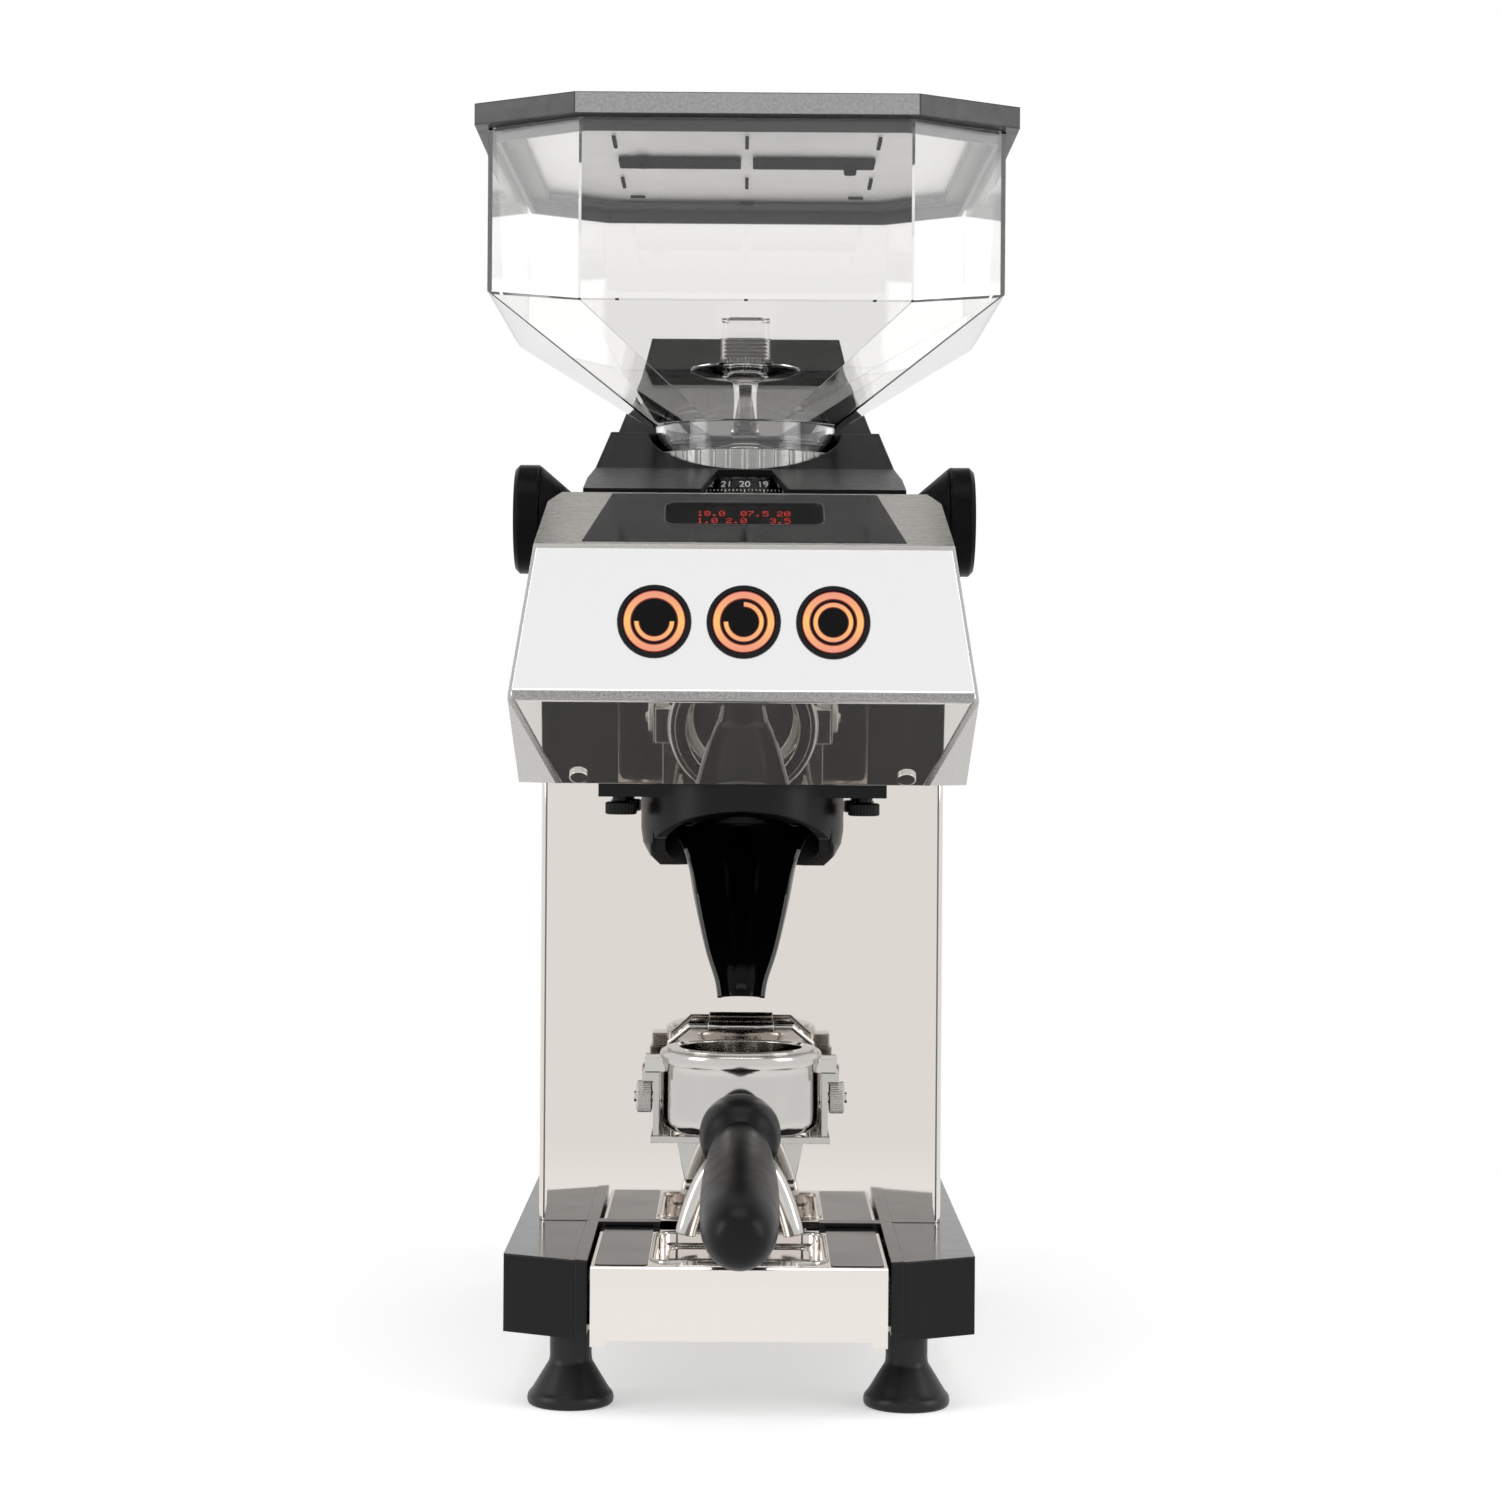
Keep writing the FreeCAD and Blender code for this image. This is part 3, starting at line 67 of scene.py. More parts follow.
FLOOR_GLOW = 0.45
FLOOR_GREY = 0.8
FLOOR_HALF = 12
FADE_START = 0.3
FADE_END = 0.9
SOFT_LIGHT = 0.5
ROOM_TOP_GREY = 0.3
LAMP_POWER = 12
SHARP_ANGLE = math.radians(35)
NOISE_LOW = 0.3
NOISE_HIGH = 0.7
WHITE = (1, 1, 1, 1)


def linear(level):
    """Linear light of one 8-bit sRGB level."""
    share = level / 255
    return share / 12.92 if share <= 0.04045 else ((share + 0.055) / 1.055) ** 2.4


def tone(red, green, blue):
    return (linear(red), linear(green), linear(blue), 1)


def shader_of(mat):
    return mat.node_tree.nodes["Principled BSDF"]


def new_material(name, **sockets):
    """Principled material; socket names are written with underscores."""
    mat = bpy.data.materials.new(name)
    mat.use_nodes = True
    for key, value in sockets.items():
        shader_of(mat).inputs[key.replace("_", " ")].default_value = value
    return mat


def add_node(mat, kind, **values):
    """Shader node; each value sets the input of that name, or else the setting."""
    made = mat.node_tree.nodes.new(kind)
    for key, value in values.items():
        name = key.replace("_", " ")
        if name in made.inputs:
            made.inputs[name].default_value = value
        else:
            setattr(made, key, value)
    return made


def link(mat, source, output, target, socket):
    mat.node_tree.links.new(source.outputs[output], target.inputs[socket])


def grain(mat, scale, stretch=(1, 1, 1), detail=3):
    """Noise in the object's own frame, drawn out by a stretch."""
    place = add_node(mat, "ShaderNodeTexCoord")
    turn = add_node(mat, "ShaderNodeMapping", Scale=stretch)
    noise = add_node(mat, "ShaderNodeTexNoise", Scale=scale, Detail=detail)
    link(mat, place, "Object", turn, "Vector")
    link(mat, turn, "Vector", noise, "Vector")
    return noise


def vary_roughness(mat, noise, low, high):
    spread = add_node(mat, "ShaderNodeMapRange")
    spread.inputs["From Min"].default_value = NOISE_LOW
    spread.inputs["From Max"].default_value = NOISE_HIGH
    spread.inputs["To Min"].default_value = low
    spread.inputs["To Max"].default_value = high
    link(mat, noise, "Fac", spread, "Value")
    link(mat, spread, "Result", shader_of(mat), "Roughness")


def vary_colour(mat, noise, dark, light):
    ramp = add_node(mat, "ShaderNodeValToRGB")
    ramp.color_ramp.elements[0].position = NOISE_LOW
    ramp.color_ramp.elements[1].position = NOISE_HIGH
    ramp.color_ramp.elements[0].color = dark
    ramp.color_ramp.elements[1].color = light
    link(mat, noise, "Fac", ramp, "Fac")
    link(mat, ramp, "Color", shader_of(mat), "Base Color")


def soften_edges(mat, radius, noise=None, strength=0.1, depth=0.00002):
    """Rounds the edges in shading and adds the grain as a bump."""
    bevel = add_node(mat, "ShaderNodeBevel", Radius=radius)
    bevel.samples = 6
    if noise is None:
        link(mat, bevel, "Normal", shader_of(mat), "Normal")
        return
    bump = add_node(mat, "ShaderNodeBump", Strength=strength, Distance=depth)
    link(mat, noise, "Fac", bump, "Height")
    link(mat, bevel, "Normal", bump, "Normal")
    link(mat, bump, "Normal", shader_of(mat), "Normal")


def polished_steel():
    mat = new_material("polished_steel", Base_Color=tone(221, 215, 210), Metallic=1, Roughness=0.04)
    noise = grain(mat, 14, (1, 1, 0.3))
    vary_roughness(mat, noise, 0.02, 0.06)
    soften_edges(mat, 0.6 * MM)
    return mat


def brushed_steel():
    mat = new_material("brushed_steel", Base_Color=tone(186, 184, 181), Metallic=1, Roughness=0.26)
    noise = grain(mat, 60, (1, 40, 40), 4)
    vary_roughness(mat, noise, 0.2, 0.32)
    soften_edges(mat, 0.4 * MM, noise, 0.08, 0.00002)
    return mat


def panel_steel():
    mat = new_material("panel_steel", Base_Color=tone(240, 240, 240), Metallic=1, Roughness=0.3)
    vary_roughness(mat, grain(mat, 50, (1, 40, 40), 4), 0.28, 0.32)
    soften_edges(mat, 0.6 * MM)
    return mat


def under_steel():
    """Bright sheet seen in shade, with a faint haze."""
    mat = new_material("under_steel", Base_Color=tone(222, 219, 215), Metallic=0.9, Roughness=0.02)
    vary_roughness(mat, grain(mat, 20), 0.01, 0.03)
    soften_edges(mat, 0.8 * MM)
    return mat


def shaded_lip_steel():
    """Rolled lip with a coarse satin grain, its steel painted darker grey as painted shade on the
    down-facing face.
    """
    mat = new_material("shaded_lip_steel", Metallic=0.8)
    fine = grain(mat, 1500, detail=2)
    # Painted shade: the darker grey range stands in for shade on the down-facing lip; the fine noise is
    # grain.
    vary_colour(mat, fine, tone(132, 132, 131), tone(176, 175, 172))
    vary_roughness(mat, grain(mat, 400), 0.35, 0.5)
    return mat


def chrome():
    mat = new_material("chrome", Base_Color=tone(186, 184, 180), Metallic=1, Roughness=0.06)
    noise = grain(mat, 90)
    vary_roughness(mat, noise, 0.04, 0.1)
    soften_edges(mat, 0.8 * MM)
    return mat


def cup_chrome():
    mat = new_material("cup_chrome", Base_Color=tone(196, 194, 190), Metallic=1, Roughness=0.14)
    vary_roughness(mat, grain(mat, 60), 0.1, 0.17)
    soften_edges(mat, 1.0 * MM)
    return mat


def black_plastic():
    mat = new_material("black_plastic", Specular_IOR_Level=0.2)
    fine = grain(mat, 1600, detail=2)
    vary_colour(mat, grain(mat, 30), tone(11, 11, 12), tone(15, 15, 16))
    vary_roughness(mat, grain(mat, 220), 0.27, 0.34)
    soften_edges(mat, 1.1 * MM, fine, 0.08, 0.00004)
    return mat


def cover_plastic():
    mat = new_material("cover_plastic", Specular_IOR_Level=0.06)
    fine = grain(mat, 1300, detail=2)
    vary_colour(mat, grain(mat, 24), tone(11, 11, 12), tone(15, 15, 16))
    vary_roughness(mat, grain(mat, 180), 0.3, 0.35)
    soften_edges(mat, 1.4 * MM, fine, 0.1, 0.00005)
    return mat


def gloss_black():
    mat = new_material("gloss_black", Specular_IOR_Level=0.12)
    vary_colour(mat, grain(mat, 20), tone(3, 3, 3), tone(5, 5, 5))
    vary_roughness(mat, grain(mat, 120), 0.08, 0.14)
    soften_edges(mat, 0.9 * MM)
    return mat


def overlay_black():
    mat = new_material("overlay_black", Specular_IOR_Level=0.34)
    vary_colour(mat, grain(mat, 15), tone(14, 14, 15), tone(18, 18, 19))
    vary_roughness(mat, grain(mat, 260), 0.05, 0.09)
    soften_edges(mat, 0.5 * MM)
    return mat


def rubber():
    mat = new_material("rubber", Specular_IOR_Level=0.32)
    fine = grain(mat, 1100, detail=3)
    vary_colour(mat, grain(mat, 40), tone(20, 20, 21), tone(27, 27, 28))
    vary_roughness(mat, grain(mat, 160), 0.34, 0.42)
    soften_edges(mat, 0.8 * MM, fine, 0.12, 0.00005)
    return mat


def clear_plastic():
    mat = new_material("clear_plastic", Base_Color=(0.93, 0.925, 0.915, 1), Roughness=0.0, IOR=1.47,
                       Transmission_Weight=1)
    vary_roughness(mat, grain(mat, 9), 0.0, 0.025)
    return mat


def frosted_lid():
    mat = new_material("frosted_lid", IOR=1.4, Transmission_Weight=1)
    vary_colour(mat, grain(mat, 12), tone(236, 235, 233), tone(241, 240, 238))
    vary_roughness(mat, grain(mat, 60), 0.3, 0.36)
    return mat


def lens_black():
    mat = new_material("lens_black", Base_Color=tone(3, 3, 3), Specular_IOR_Level=0.05)
    vary_roughness(mat, grain(mat, 200), 0.06, 0.12)
    return mat


def moulding_black():
    """Black satin moulding whose top catches the light at a low angle."""
    mat = new_material("moulding_black", Specular_IOR_Level=0.22)
    vary_colour(mat, grain(mat, 26), tone(9, 9, 10), tone(13, 13, 14))
    vary_roughness(mat, grain(mat, 90), 0.13, 0.19)
    soften_edges(mat, 1.2 * MM)
    return mat


def lid_grey():
    mat = new_material("lid_grey", Specular_IOR_Level=0.45)
    fine = grain(mat, 1400, detail=2)
    vary_colour(mat, grain(mat, 40), tone(56, 57, 58), tone(66, 67, 68))
    vary_roughness(mat, grain(mat, 180), 0.36, 0.46)
    soften_edges(mat, 1.2 * MM, fine, 0.2, 0.00006)
    return mat


def cast_alloy():
    mat = new_material("cast_alloy", Base_Color=tone(160, 160, 158), Metallic=1)
    fine = grain(mat, 500)
    vary_roughness(mat, fine, 0.38, 0.5)
    soften_edges(mat, 0.8 * MM, fine, 0.2, 0.00005)
    return mat


def dark_iron():
    mat = new_material("dark_iron", Metallic=1)
    vary_colour(mat, grain(mat, 80), tone(84, 82, 80), tone(104, 101, 98))
    vary_roughness(mat, grain(mat, 300), 0.4, 0.55)
    soften_edges(mat, 0.5 * MM)
    return mat


def board_green():
    mat = new_material("board_green", Specular_IOR_Level=0.5)
    vary_colour(mat, grain(mat, 90), tone(14, 62, 34), tone(22, 82, 46))
    vary_roughness(mat, grain(mat, 200), 0.3, 0.42)
    soften_edges(mat, 0.4 * MM)
    return mat


POLISHED = polished_steel()
BRUSHED = brushed_steel()
PANEL = panel_steel()
CHROME = chrome()
BLACK = black_plastic()
COVER = cover_plastic()
GLOSS = gloss_black()
OVERLAY = overlay_black()
RUBBER = rubber()
CLEAR = clear_plastic()
FROSTED = frosted_lid()
ALLOY = cast_alloy()
IRON = dark_iron()
BOARD = board_green()
LENS = lens_black()
MOULDING = moulding_black()
LID = lid_grey()
UNDER = under_steel()
LIP = shaded_lip_steel()
CUP = cup_chrome()

FINISH = {
    POLISHED: "splash_panel tray",
    UNDER: "underside_plate underside_screws",
    CUP: "portafilter_body",
    BRUSHED: "base_plate column_shell rear_cover upper_housing motor_plate motor_brackets shaft_bearings "
             "drive_shaft worm_shaft burr_carrier",
    PANEL: "control_panel",
    CHROME: "fork_bracket guide_arms hold_down_bail filter_basket "
            "left_thumb_nut right_thumb_nut bail_sleeve",
    BLACK: "cable_gland button_bezels spout_mount portafilter_handle left_thumb_screw "
           "right_thumb_screw",
    MOULDING: "left_base_moulding right_base_moulding left_rail right_rail",
    LID: "lid_frame",
    LENS: "display_module",
    COVER: "top_cover knob_bosses left_knob right_knob",
    GLOSS: "spout left_button middle_button right_button mains_rocker start_capacitor dial_ring",
    OVERLAY: "display_overlay",
    RUBBER: "rubber_feet",
    CLEAR: "hopper_body gate_plunger",
    FROSTED: "lid_panel",
    ALLOY: "motor_housing grinding_chamber outlet_chute adjusting_collar",
    IRON: "stator motor_rotor upper_burr lower_burr",
    BOARD: "control_board",
}


def paint_nodes():
    for mat, names in FINISH.items():
        for name in names.split():
            for spot in NODES[name].material_slots:
                spot.material = mat


def piece(name, mesh, body, mat, place=None):
    """Object for a finished mesh that rides on a body."""
    for face in mesh.polygons:
        face.use_smooth = True
    mesh.set_sharp_from_angle(angle=SHARP_ANGLE)
    mesh.materials.append(mat)
    made = bpy.data.objects.new(name, mesh)
    bpy.context.scene.collection.objects.link(made)
    if place is not None:
        made.matrix_world = place
    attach(made, body)
    return made


def smooth_line(points, steps):
    """Points along a smooth curve through the given ones."""
    ends = [points[0]] + list(points) + [points[-1]]
    line = []
    for k in range(len(points) - 1):
        a, b, c, d = (Vector(spot) for spot in ends[k:k + 4])
        for i in range(steps):
            t = i / steps
            spot = b * 2 + (c - a) * t + (a * 2 - b * 5 + c * 4 - d) * t * t
            spot += (b * 3 - a - c * 3 + d) * t * t * t
            line.append(spot / 2)
    line.append(Vector(points[-1]))
    return line


def in_metres(pairs):
    return [(first * MM, second * MM) for first, second in pairs]


def lathe(bm, profile, steps, place):
    """Turned surface from radius and height pairs; ends on the axis are closed."""
    rows = []
    for k in range(steps):
        angle = 2 * math.pi * k / steps
        rows.append([
            bm.verts.new(place @ Vector((r * math.cos(angle), r * math.sin(angle), z)))
            for r, z in profile
        ])
    for k in range(steps):
        one = rows[k]
        two = rows[(k + 1) % steps]
        for i in range(len(profile) - 1):
            bm.faces.new((one[i], two[i], two[i + 1], one[i + 1]))
    bmesh.ops.remove_doubles(bm, verts=bm.verts, dist=1e-7)


def rounded_plan(x0, x1, y0, y1, radius, steps=8):
    """Corner points of a rectangle with round corners."""
    spots = []
    corners = ((x1, y0, -90), (x1, y1, 0), (x0, y1, 90), (x0, y0, 180))
    for x, y, start in corners:
        cx = x - math.copysign(radius, x - (x0 + x1) / 2)
        cy = y - math.copysign(radius, y - (y0 + y1) / 2)
        for k in range(steps + 1):
            angle = math.radians(start + 90 * k / steps)
            spots.append((cx + radius * math.cos(angle), cy + radius * math.sin(angle)))
    return spots


def plate(bm, plan, low, high):
    """Flat plate with an upright edge from a plan."""
    under = [bm.verts.new((x, y, low)) for x, y in plan]
    over = [bm.verts.new((x, y, high)) for x, y in plan]
    count = len(plan)
    for k in range(count):
        j = (k + 1) % count
        bm.faces.new((under[k], under[j], over[j], over[k]))
    bm.faces.new(over)
    bm.faces.new(list(reversed(under)))


def bead(bm, plan, level, radius, steps=10):
    """Round bead that follows a closed plan."""
    count = len(plan)
    rows = []
    for k in range(count):
        here = Vector((*plan[k], level))
        ahead = Vector((*plan[(k + 1) % count], level)) - Vector((*plan[k - 1], level))
        side = ahead.cross(Vector((0, 0, 1))).normalized()
        ring = []
        for i in range(steps):
            angle = 2 * math.pi * i / steps
            ring.append(bm.verts.new(here + side * (radius * math.cos(angle))
                                     + Vector((0, 0, radius * math.sin(angle)))))
        rows.append(ring)
    for k in range(count):
        one = rows[k]
        two = rows[(k + 1) % count]
        for i in range(steps):
            j = (i + 1) % steps
            bm.faces.new((one[i], one[j], two[j], two[i]))


def mesh_from(name, bm, place=None):
    mesh = bpy.data.meshes.new(name)
    bmesh.ops.recalc_face_normals(bm, faces=bm.faces)
    bm.to_mesh(mesh)
    bm.free()
    if place is not None:
        mesh.transform(place)
    return mesh


def take_in(bm, mesh):
    """Adds a finished mesh to another and drops it."""
    bm.from_mesh(mesh)
    bpy.data.meshes.remove(mesh)


def frame_at(origin, across, up):
    """Placement whose X runs across, Y up and Z out of the face."""
    across = Vector(across).normalized()
    up = Vector(up).normalized()
    out = across.cross(up)
    turn = Matrix((across, up, out)).transposed().to_4x4()
    return Matrix.Translation(origin) @ turn


def arc_band(bm, inner, outer, start, stop, low, high, steps):
    """Flat band along an arc; a full turn closes on itself."""
    closed = abs(stop - start) >= 359.9
    count = steps if closed else steps + 1
    rows = []
    for k in range(count):
        angle = math.radians(start + (stop - start) * k / steps)
        spots = ((inner, low), (outer, low), (outer, high), (inner, high))
        rows.append([bm.verts.new((r * math.cos(angle), r * math.sin(angle), z)) for r, z in spots])
    for k in range(steps):
        one = rows[k]
        two = rows[(k + 1) % count]
        for i in range(4):
            j = (i + 1) % 4
            bm.faces.new((one[i], one[j], two[j], two[i]))
    if not closed:
        bm.faces.new(rows[0])
        bm.faces.new(list(reversed(rows[-1])))


def slab(bm, x0, x1, y0, y1, z0, z1):
    """Plain box between two corners."""
    plan = ((x0, y0), (x1, y0), (x1, y1), (x0, y1))
    corners = [bm.verts.new((x, y, z)) for z in (z0, z1) for x, y in plan]
    sides = ((0, 1, 2, 3), (4, 5, 6, 7), (0, 1, 5, 4), (1, 2, 6, 5), (2, 3, 7, 6), (3, 0, 4, 7))
    for side in sides:
        bm.faces.new([corners[i] for i in side])


BUTTON_LEAN = math.atan(9 / 64.8)
BUTTON_OUT = Vector((0, -math.cos(BUTTON_LEAN), math.sin(BUTTON_LEAN)))
BUTTON_UP = Vector((0, math.sin(BUTTON_LEAN), math.cos(BUTTON_LEAN)))
BUTTON_RISE = 30.3 * MM
BUTTON_SPACING = 39.8 * MM
BUTTON_PROUD = 0.4 * MM
PANEL_FOOT = Vector((0, -114 * MM, 322.7 * MM))
RING_INNER = 10.7 * MM
RING_OUTER = 13.5 * MM
ICON_INNER = 7.0 * MM
ICON_OUTER = 8.8 * MM
RING_STEPS = 96
ICON_STEPS = 72


def lit(name, colour, strength):
    mat = new_material(name, Base_Color=(0, 0, 0, 1), Roughness=0.4, Emission_Strength=strength)
    shader_of(mat).inputs["Emission Color"].default_value = colour
    return mat


def glow_ring_material():
    """Lit ring, yellow-orange at its sides and pinker towards its top and foot."""
    mat = lit("button_glow", tone(240, 160, 100), 1)
    place = add_node(mat, "ShaderNodeTexCoord")
    split = add_node(mat, "ShaderNodeSeparateXYZ")
    size = add_node(mat, "ShaderNodeMath", operation="ABSOLUTE")
    spread = add_node(mat, "ShaderNodeMapRange")
    spread.inputs["From Max"].default_value = 13 * MM
    ramp = add_node(mat, "ShaderNodeValToRGB")
    ramp.color_ramp.elements[0].position = 0.1
    ramp.color_ramp.elements[0].color = tone(255, 190, 108)
    ramp.color_ramp.elements[1].position = 0.95
    ramp.color_ramp.elements[1].color = tone(238, 152, 124)
    link(mat, place, "Object", split, "Vector")
    link(mat, split, "Y", size, 0)
    link(mat, size, 0, spread, "Value")
    link(mat, spread, "Result", ramp, "Fac")
    link(mat, ramp, "Color", shader_of(mat), "Emission Color")
    return mat


def button_pieces():
    """Lit ring, its dark red edges and the arc sign on each push button."""
    glow = glow_ring_material()
    edge = lit("button_glow_edge", tone(128, 34, 18), 1)
    arcs = {"left": (180, 360), "middle": (-180, 90), "right": (0, 360)}
    for k, name in ((-1, "left"), (0, "middle"), (1, "right")):
        face = PANEL_FOOT + BUTTON_UP * (BUTTON_RISE / math.cos(BUTTON_LEAN)) + BUTTON_OUT * BUTTON_PROUD
        face.x = k * BUTTON_SPACING
        spot = frame_at(face, (1, 0, 0), BUTTON_UP)
        body = name + "_button"
        start, stop = arcs[name]
        ring = bmesh.new()
        arc_band(ring, RING_INNER, RING_OUTER, 0, 360, 0, 0.18 * MM, RING_STEPS)
        piece(name + "_glow_ring", mesh_from("ring", ring), body, glow, spot)
        rims = bmesh.new()
        arc_band(rims, 10.2 * MM, RING_INNER, 0, 360, 0, 0.14 * MM, RING_STEPS)
        arc_band(rims, RING_OUTER, 13.95 * MM, 0, 360, 0, 0.14 * MM, RING_STEPS)
        arc_band(rims, 6.6 * MM, ICON_INNER, start, stop, 0, 0.12 * MM, ICON_STEPS)
        arc_band(rims, ICON_OUTER, 9.15 * MM, start, stop, 0, 0.12 * MM, ICON_STEPS)
        piece(name + "_glow_edges", mesh_from("rims", rims), body, edge, spot)
        icon = bmesh.new()
        arc_band(icon, ICON_INNER, ICON_OUTER, start, stop, 0, 0.16 * MM, ICON_STEPS)
        piece(name + "_icon", mesh_from("icon", icon), body, glow, spot)


DIGITS = {
    "0": "01110 10001 10011 10101 11001 10001 01110",
    "1": "00100 01100 00100 00100 00100 00100 01110",
    "2": "01110 10001 00001 00110 01000 10000 11111",
    "3": "01110 10001 00001 00110 00001 10001 01110",
    "5": "11111 10000 11110 00001 00001 10001 01110",
    "7": "11111 00001 00010 00100 01000 01000 01000",
    "8": "01110 10001 10001 01110 10001 10001 01110",
    ".": "00000 00000 00000 00000 00000 01100 01100",
    " ": "00000 00000 00000 00000 00000 00000 00000",
}


def slope_frame():
    """Placement on the sloping top face, from its front edge upwards."""
    return frame_at(SLOPE_FRONT, (1, 0, 0), SLOPE_BACK - SLOPE_FRONT)


def lit_dots(letter):
    """Column and row of each lit dot in one figure."""
    for row, line in enumerate(DIGITS[letter].split()):
        for column, mark in enumerate(line):
            if mark == "1":
                yield column, row


def readout():
    """Red dot-matrix figures on the display's window."""
    red = lit("readout_red", tone(206, 30, 26), 1)
    dots = bmesh.new()
    pitch_x = 0.55 * MM
    pitch_y = 0.72 * MM
    dot_wide = 0.42 * MM
    dot_tall = dot_wide * 1.3
    columns = 6
    rows = (("18.0  07.5 20", 33.0 * MM), ("1.0 2.0   3.5", 26.0 * MM))
    for text, top in rows:
        left = -len(text) * columns / 2 * pitch_x
        for place, letter in enumerate(text):
            for column, row in lit_dots(letter):
                x = left + (place * columns + column) * pitch_x
                y = top - row * pitch_y
                slab(dots, x, x + dot_wide, y, y + dot_tall, -0.3 * MM, -0.18 * MM)
    piece("readout", mesh_from("readout", dots, slope_frame()), "chassis", red)


def overlay_lines():
    """Fine frame printed round the window."""
    grey = new_material("print_grey", Base_Color=tone(70, 70, 72), Roughness=0.4)
    vary_roughness(grey, grain(grey, 300), 0.35, 0.5)
    lines = bmesh.new()
    plan = rounded_plan(-36.2 * MM, 36.2 * MM, 19.2 * MM, 41.6 * MM, 4.6 * MM)
    bead(lines, plan, 0.3 * MM, 0.22 * MM, 6)
    piece("overlay_frame", mesh_from("frame", lines, slope_frame()), "chassis", grey)


def text_mesh(words, size):
    """Flat raised figures as a mesh."""
    curve = bpy.data.curves.new("figures", "FONT")
    curve.body = words
    curve.size = size
    curve.align_x = "CENTER"
    curve.align_y = "CENTER"
    curve.extrude = 0.05 * MM
    temp = bpy.data.objects.new("figures", curve)
    bpy.context.scene.collection.objects.link(temp)
    bpy.context.view_layer.update()
    graph = bpy.context.evaluated_depsgraph_get()
    mesh = bpy.data.meshes.new_from_object(temp.evaluated_get(graph))
    bpy.data.objects.remove(temp)
    return mesh


DIAL_FOOT_RADIUS = 68 * MM
DIAL_FOOT_Z = 411 * MM
DIAL_RUN = 14
DIAL_RISE = 15.6
DIAL_PROUD = 0.06 * MM
DIAL_FIGURES = 40
DIAL_SHOWN = 20
DIAL_TICKS = 200


def dial_spot(angle, radius):
    """Placement on the dial ring's cone, at an angle from the front."""
    turn = math.radians(angle)
    out = Vector((math.sin(turn), -math.cos(turn), 0))
    across = Vector((math.cos(turn), math.sin(turn), 0))
    up = Vector((-out.x * DIAL_RUN, -out.y * DIAL_RUN, DIAL_RISE))
    level = DIAL_FOOT_Z + (DIAL_FOOT_RADIUS - radius) / DIAL_RUN * DIAL_RISE
    centre = Vector((0, AXIS_Y, 0)) + out * radius + Vector((0, 0, level))
    return frame_at(centre, across, up) @ Matrix.Translation((0, 0, DIAL_PROUD))


def dial_white():
    white = new_material("dial_white", Base_Color=tone(250, 250, 250), Roughness=0.45)
    vary_roughness(white, grain(white, 300), 0.4, 0.5)
    return white


def dial_figures():
    """Figures and ticks round the dial ring."""
    bm = bmesh.new()
    for k in range(DIAL_FIGURES):
        mesh = text_mesh(str((DIAL_SHOWN + k) % DIAL_FIGURES), 5.6 * MM)
        mesh.transform(dial_spot(-k * 360 / DIAL_FIGURES, 56.6 * MM))
        take_in(bm, mesh)
    half = 0.28 * MM
    thick = 0.05 * MM
    for k in range(DIAL_TICKS):
        tick = bmesh.new()
        tall = 1.0 * MM if k % 5 else 1.9 * MM
        slab(tick, -half, half, -tall, 0, -thick, thick)
        take_in(bm, mesh_from("tick", tick, dial_spot(k * 360 / DIAL_TICKS, 58.9 * MM)))
    piece("dial_figures", mesh_from("figures", bm), "collar", dial_white())


HANDLE_PROFILE = [
    (12.8, 38.4), (15.6, 39.2), (17.4, 41.5), (18.2, 46), (18.0, 52), (16.6, 57.5), (13.6, 61.5),
    (12.2, 64), (12.8, 68), (14.2, 78), (15.6, 94), (16.6, 114), (16.8, 135), (16.5, 150), (15.6, 160),
    (13.6, 167.5), (10.2, 172.4), (5.4, 175), (0, 175.6),
]


def grip_black():
    mat = new_material("grip_black", Specular_IOR_Level=0.18)
    fine = grain(mat, 1200, detail=2)
    vary_colour(mat, grain(mat, 35), tone(13, 13, 14), tone(18, 18, 19))
    vary_roughness(mat, grain(mat, 150), 0.3, 0.4)
    soften_edges(mat, 0.6 * MM, fine, 0.12, 0.00004)
    return mat


def handle_place():
    """Placement whose Z runs out along the handle."""
    along = Vector((0, -math.cos(HANDLE_PITCH), -math.sin(HANDLE_PITCH)))
    up = Vector((0, -math.sin(HANDLE_PITCH), math.cos(HANDLE_PITCH)))
    return frame_at(HANDLE_START, along.cross(up) * -1, up)


def handle():
    """Soft-turned grip with a collar and a waist."""
    bm = bmesh.new()
    line = [(max(r, 0), z) for r, z in smooth_line(HANDLE_PROFILE, 5)]
    start = (0, HANDLE_PROFILE[0][1])
    lathe(bm, in_metres([start] + line), 96, handle_place())
    made = piece("grip", mesh_from("grip", bm), "portafilter", grip_black())
    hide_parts("portafilter_handle")


FOOT_PROFILE = [
    (18.8, 0.4), (19.4, 1.4), (19.5, 3.4), (18.9, 5.2), (17.4, 7.0), (14.2, 12.2), (11.4, 16.8),
    (9.9, 19.4), (9.5, 22), (9.5, 25),
]
FOOT_PLACES = [(-76, -84), (76, -84), (-76, 191), (76, 191)]


def feet():
    """Flared rubber feet with a fillet under the base."""
    bm = bmesh.new()
    line = [tuple(spot) for spot in smooth_line(FOOT_PROFILE, 6)]
    profile = in_metres([(0, 0), (18.2, 0)] + line + [(9.5, 34), (0, 34)])
    for x, y in FOOT_PLACES:
        one = bmesh.new()
        lathe(one, profile, 72, Matrix.Translation((x * MM, y * MM, 0)))
        take_in(bm, mesh_from("foot", one))
    made = piece("flared_feet", mesh_from("feet", bm), "chassis", RUBBER)
    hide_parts("rubber_feet")


